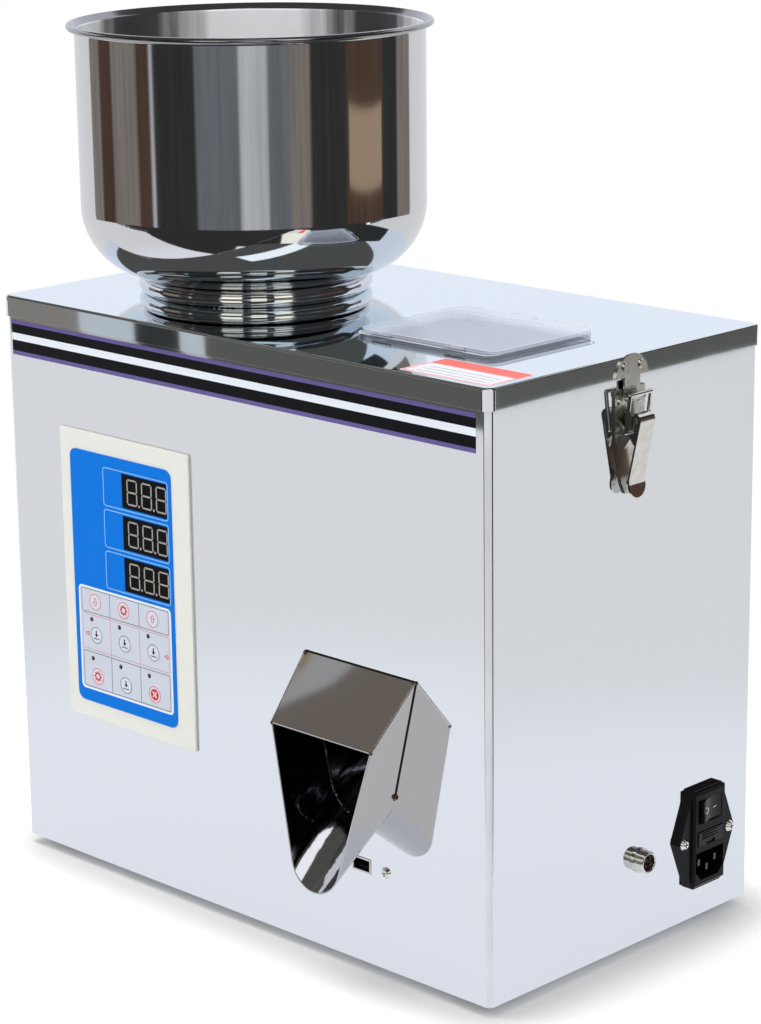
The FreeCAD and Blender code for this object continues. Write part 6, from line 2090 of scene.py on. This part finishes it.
        first = self.spot_at(-self.room_half, self.room_radius)
        ends = [form.verts.new((*first, height)) for height in (0.0, self.wall_top)]
        edge = form.edges.new(ends)
        bmesh.ops.spin(
            form, geom=ends + [edge], cent=(*self.bowl_axis, 0.0), axis=UP,
            angle=2 * half, steps=self.room_steps,
        )
        self.stand("room_wall", form, graph.material)

    def spot_at(self, angle: float, radius: float) -> Pair:
        """Point on a circle round the bowl.

        Args:
            angle: Degrees round from the camera's side, positive to the picture's right.
            radius: Distance from the bowl's axis in metres.

        Returns:
            Its x and y in metres.
        """
        turn = math.radians(angle + self.azimuth - 90.0)
        return self.bowl_axis[0] + radius * math.cos(turn), self.bowl_axis[1] + radius * math.sin(turn)

    def wall(self, name: str, span: Pair, rise: Pair, radius: float, tone: Tone) -> None:
        """Upright board on a circle round the bowl.

        Args:
            name: Name of the board.
            span: Its two edges, in degrees round from the camera's side, positive to the picture's right.
            rise: Its lowest and highest level in metres.
            radius: Distance from the bowl's axis in metres.
            tone: Its tone.
        """
        first, last = (self.spot_at(angle, radius) for angle in span)
        self.upright(name, first, last, rise, tone)

    def upright(self, name: str, first: Pair, last: Pair, rise: Pair, tone: Tone) -> None:
        """Upright board between two places.

        Args:
            name: Name of the board.
            first: Place of its first edge, in metres.
            last: Place of its other edge.
            rise: Its lowest and highest level in metres.
            tone: Its tone.
        """
        low, high = rise
        self.card(name, [(*first, low), (*last, low), (*last, high), (*first, high)], tone)

    def level(self, name: str, corners: tuple[Pair, ...], height: float, tone: Tone) -> None:
        """Level board.

        Args:
            name: Name of the board.
            corners: Its corners in order, in metres.
            height: Its height in metres.
            tone: Its tone.
        """
        self.card(name, [(x, y, height) for x, y in corners], tone)

    def card(self, name: str, corners: list[Triple], tone: Tone) -> None:
        """One glowing board that only mirrors see.

        Args:
            name: Name of the board.
            corners: Its corners in order, in metres.
            tone: Its tone in the mirror.
        """
        graph = Graph(name)
        glow = graph.add("ShaderNodeEmission", {"Color": linear(tone.value), "Strength": self.mirror_gain})
        graph.link(glow, "Emission", graph.output, "Surface")
        form = bmesh.new()
        form.faces.new([form.verts.new(point) for point in corners])
        self.stand(name, form, graph.material)

    def stand(self, name: str, form: bmesh.types.BMesh, material: bpy.types.Material) -> None:
        """Stage a board that only mirrors see.

        Args:
            name: Name of the board.
            form: Its shape in metres.
            material: Its glow.
        """
        card = set_out(name, form, material)
        card.visible_camera = False
        card.visible_diffuse = False
        card.visible_shadow = False
        card.visible_transmission = False

    def softbox(self, name: str, place: Triple, target: float, size: float, power: float) -> None:
        """One square area lamp that faces the machine's axis.

        Args:
            name: Name of the lamp.
            place: Its place in metres.
            target: Height of the point that it faces.
            size: Side of the lamp in metres.
            power: Power in watts.
        """
        data = bpy.data.lights.new(name, "AREA")
        data.size = size
        data.energy = power
        lamp = bpy.data.objects.new(name, data)
        bpy.context.scene.collection.objects.link(lamp)
        lamp.visible_glossy = False
        lamp.location = place
        lamp.rotation_mode = "QUATERNION"
        lamp.rotation_quaternion = (Vector((0, 0, target)) - Vector(place)).to_track_quat("-Z", "Y")


def main() -> None:
    """Build the studio and dress every sub-assembly."""
    logging.basicConfig(level=logging.INFO, format="%(message)s")
    finishes = Finishes(centre_of("hopper_bowl"))
    Studio().make()
    for kind in (HopperBowl, Case, ControlPanel, Spout, Window, Latches, SideSockets, Insides):
        kind(finishes).make()
        LOG.info("dressed %s", kind.__name__)


if __name__ == "__main__":
    main()
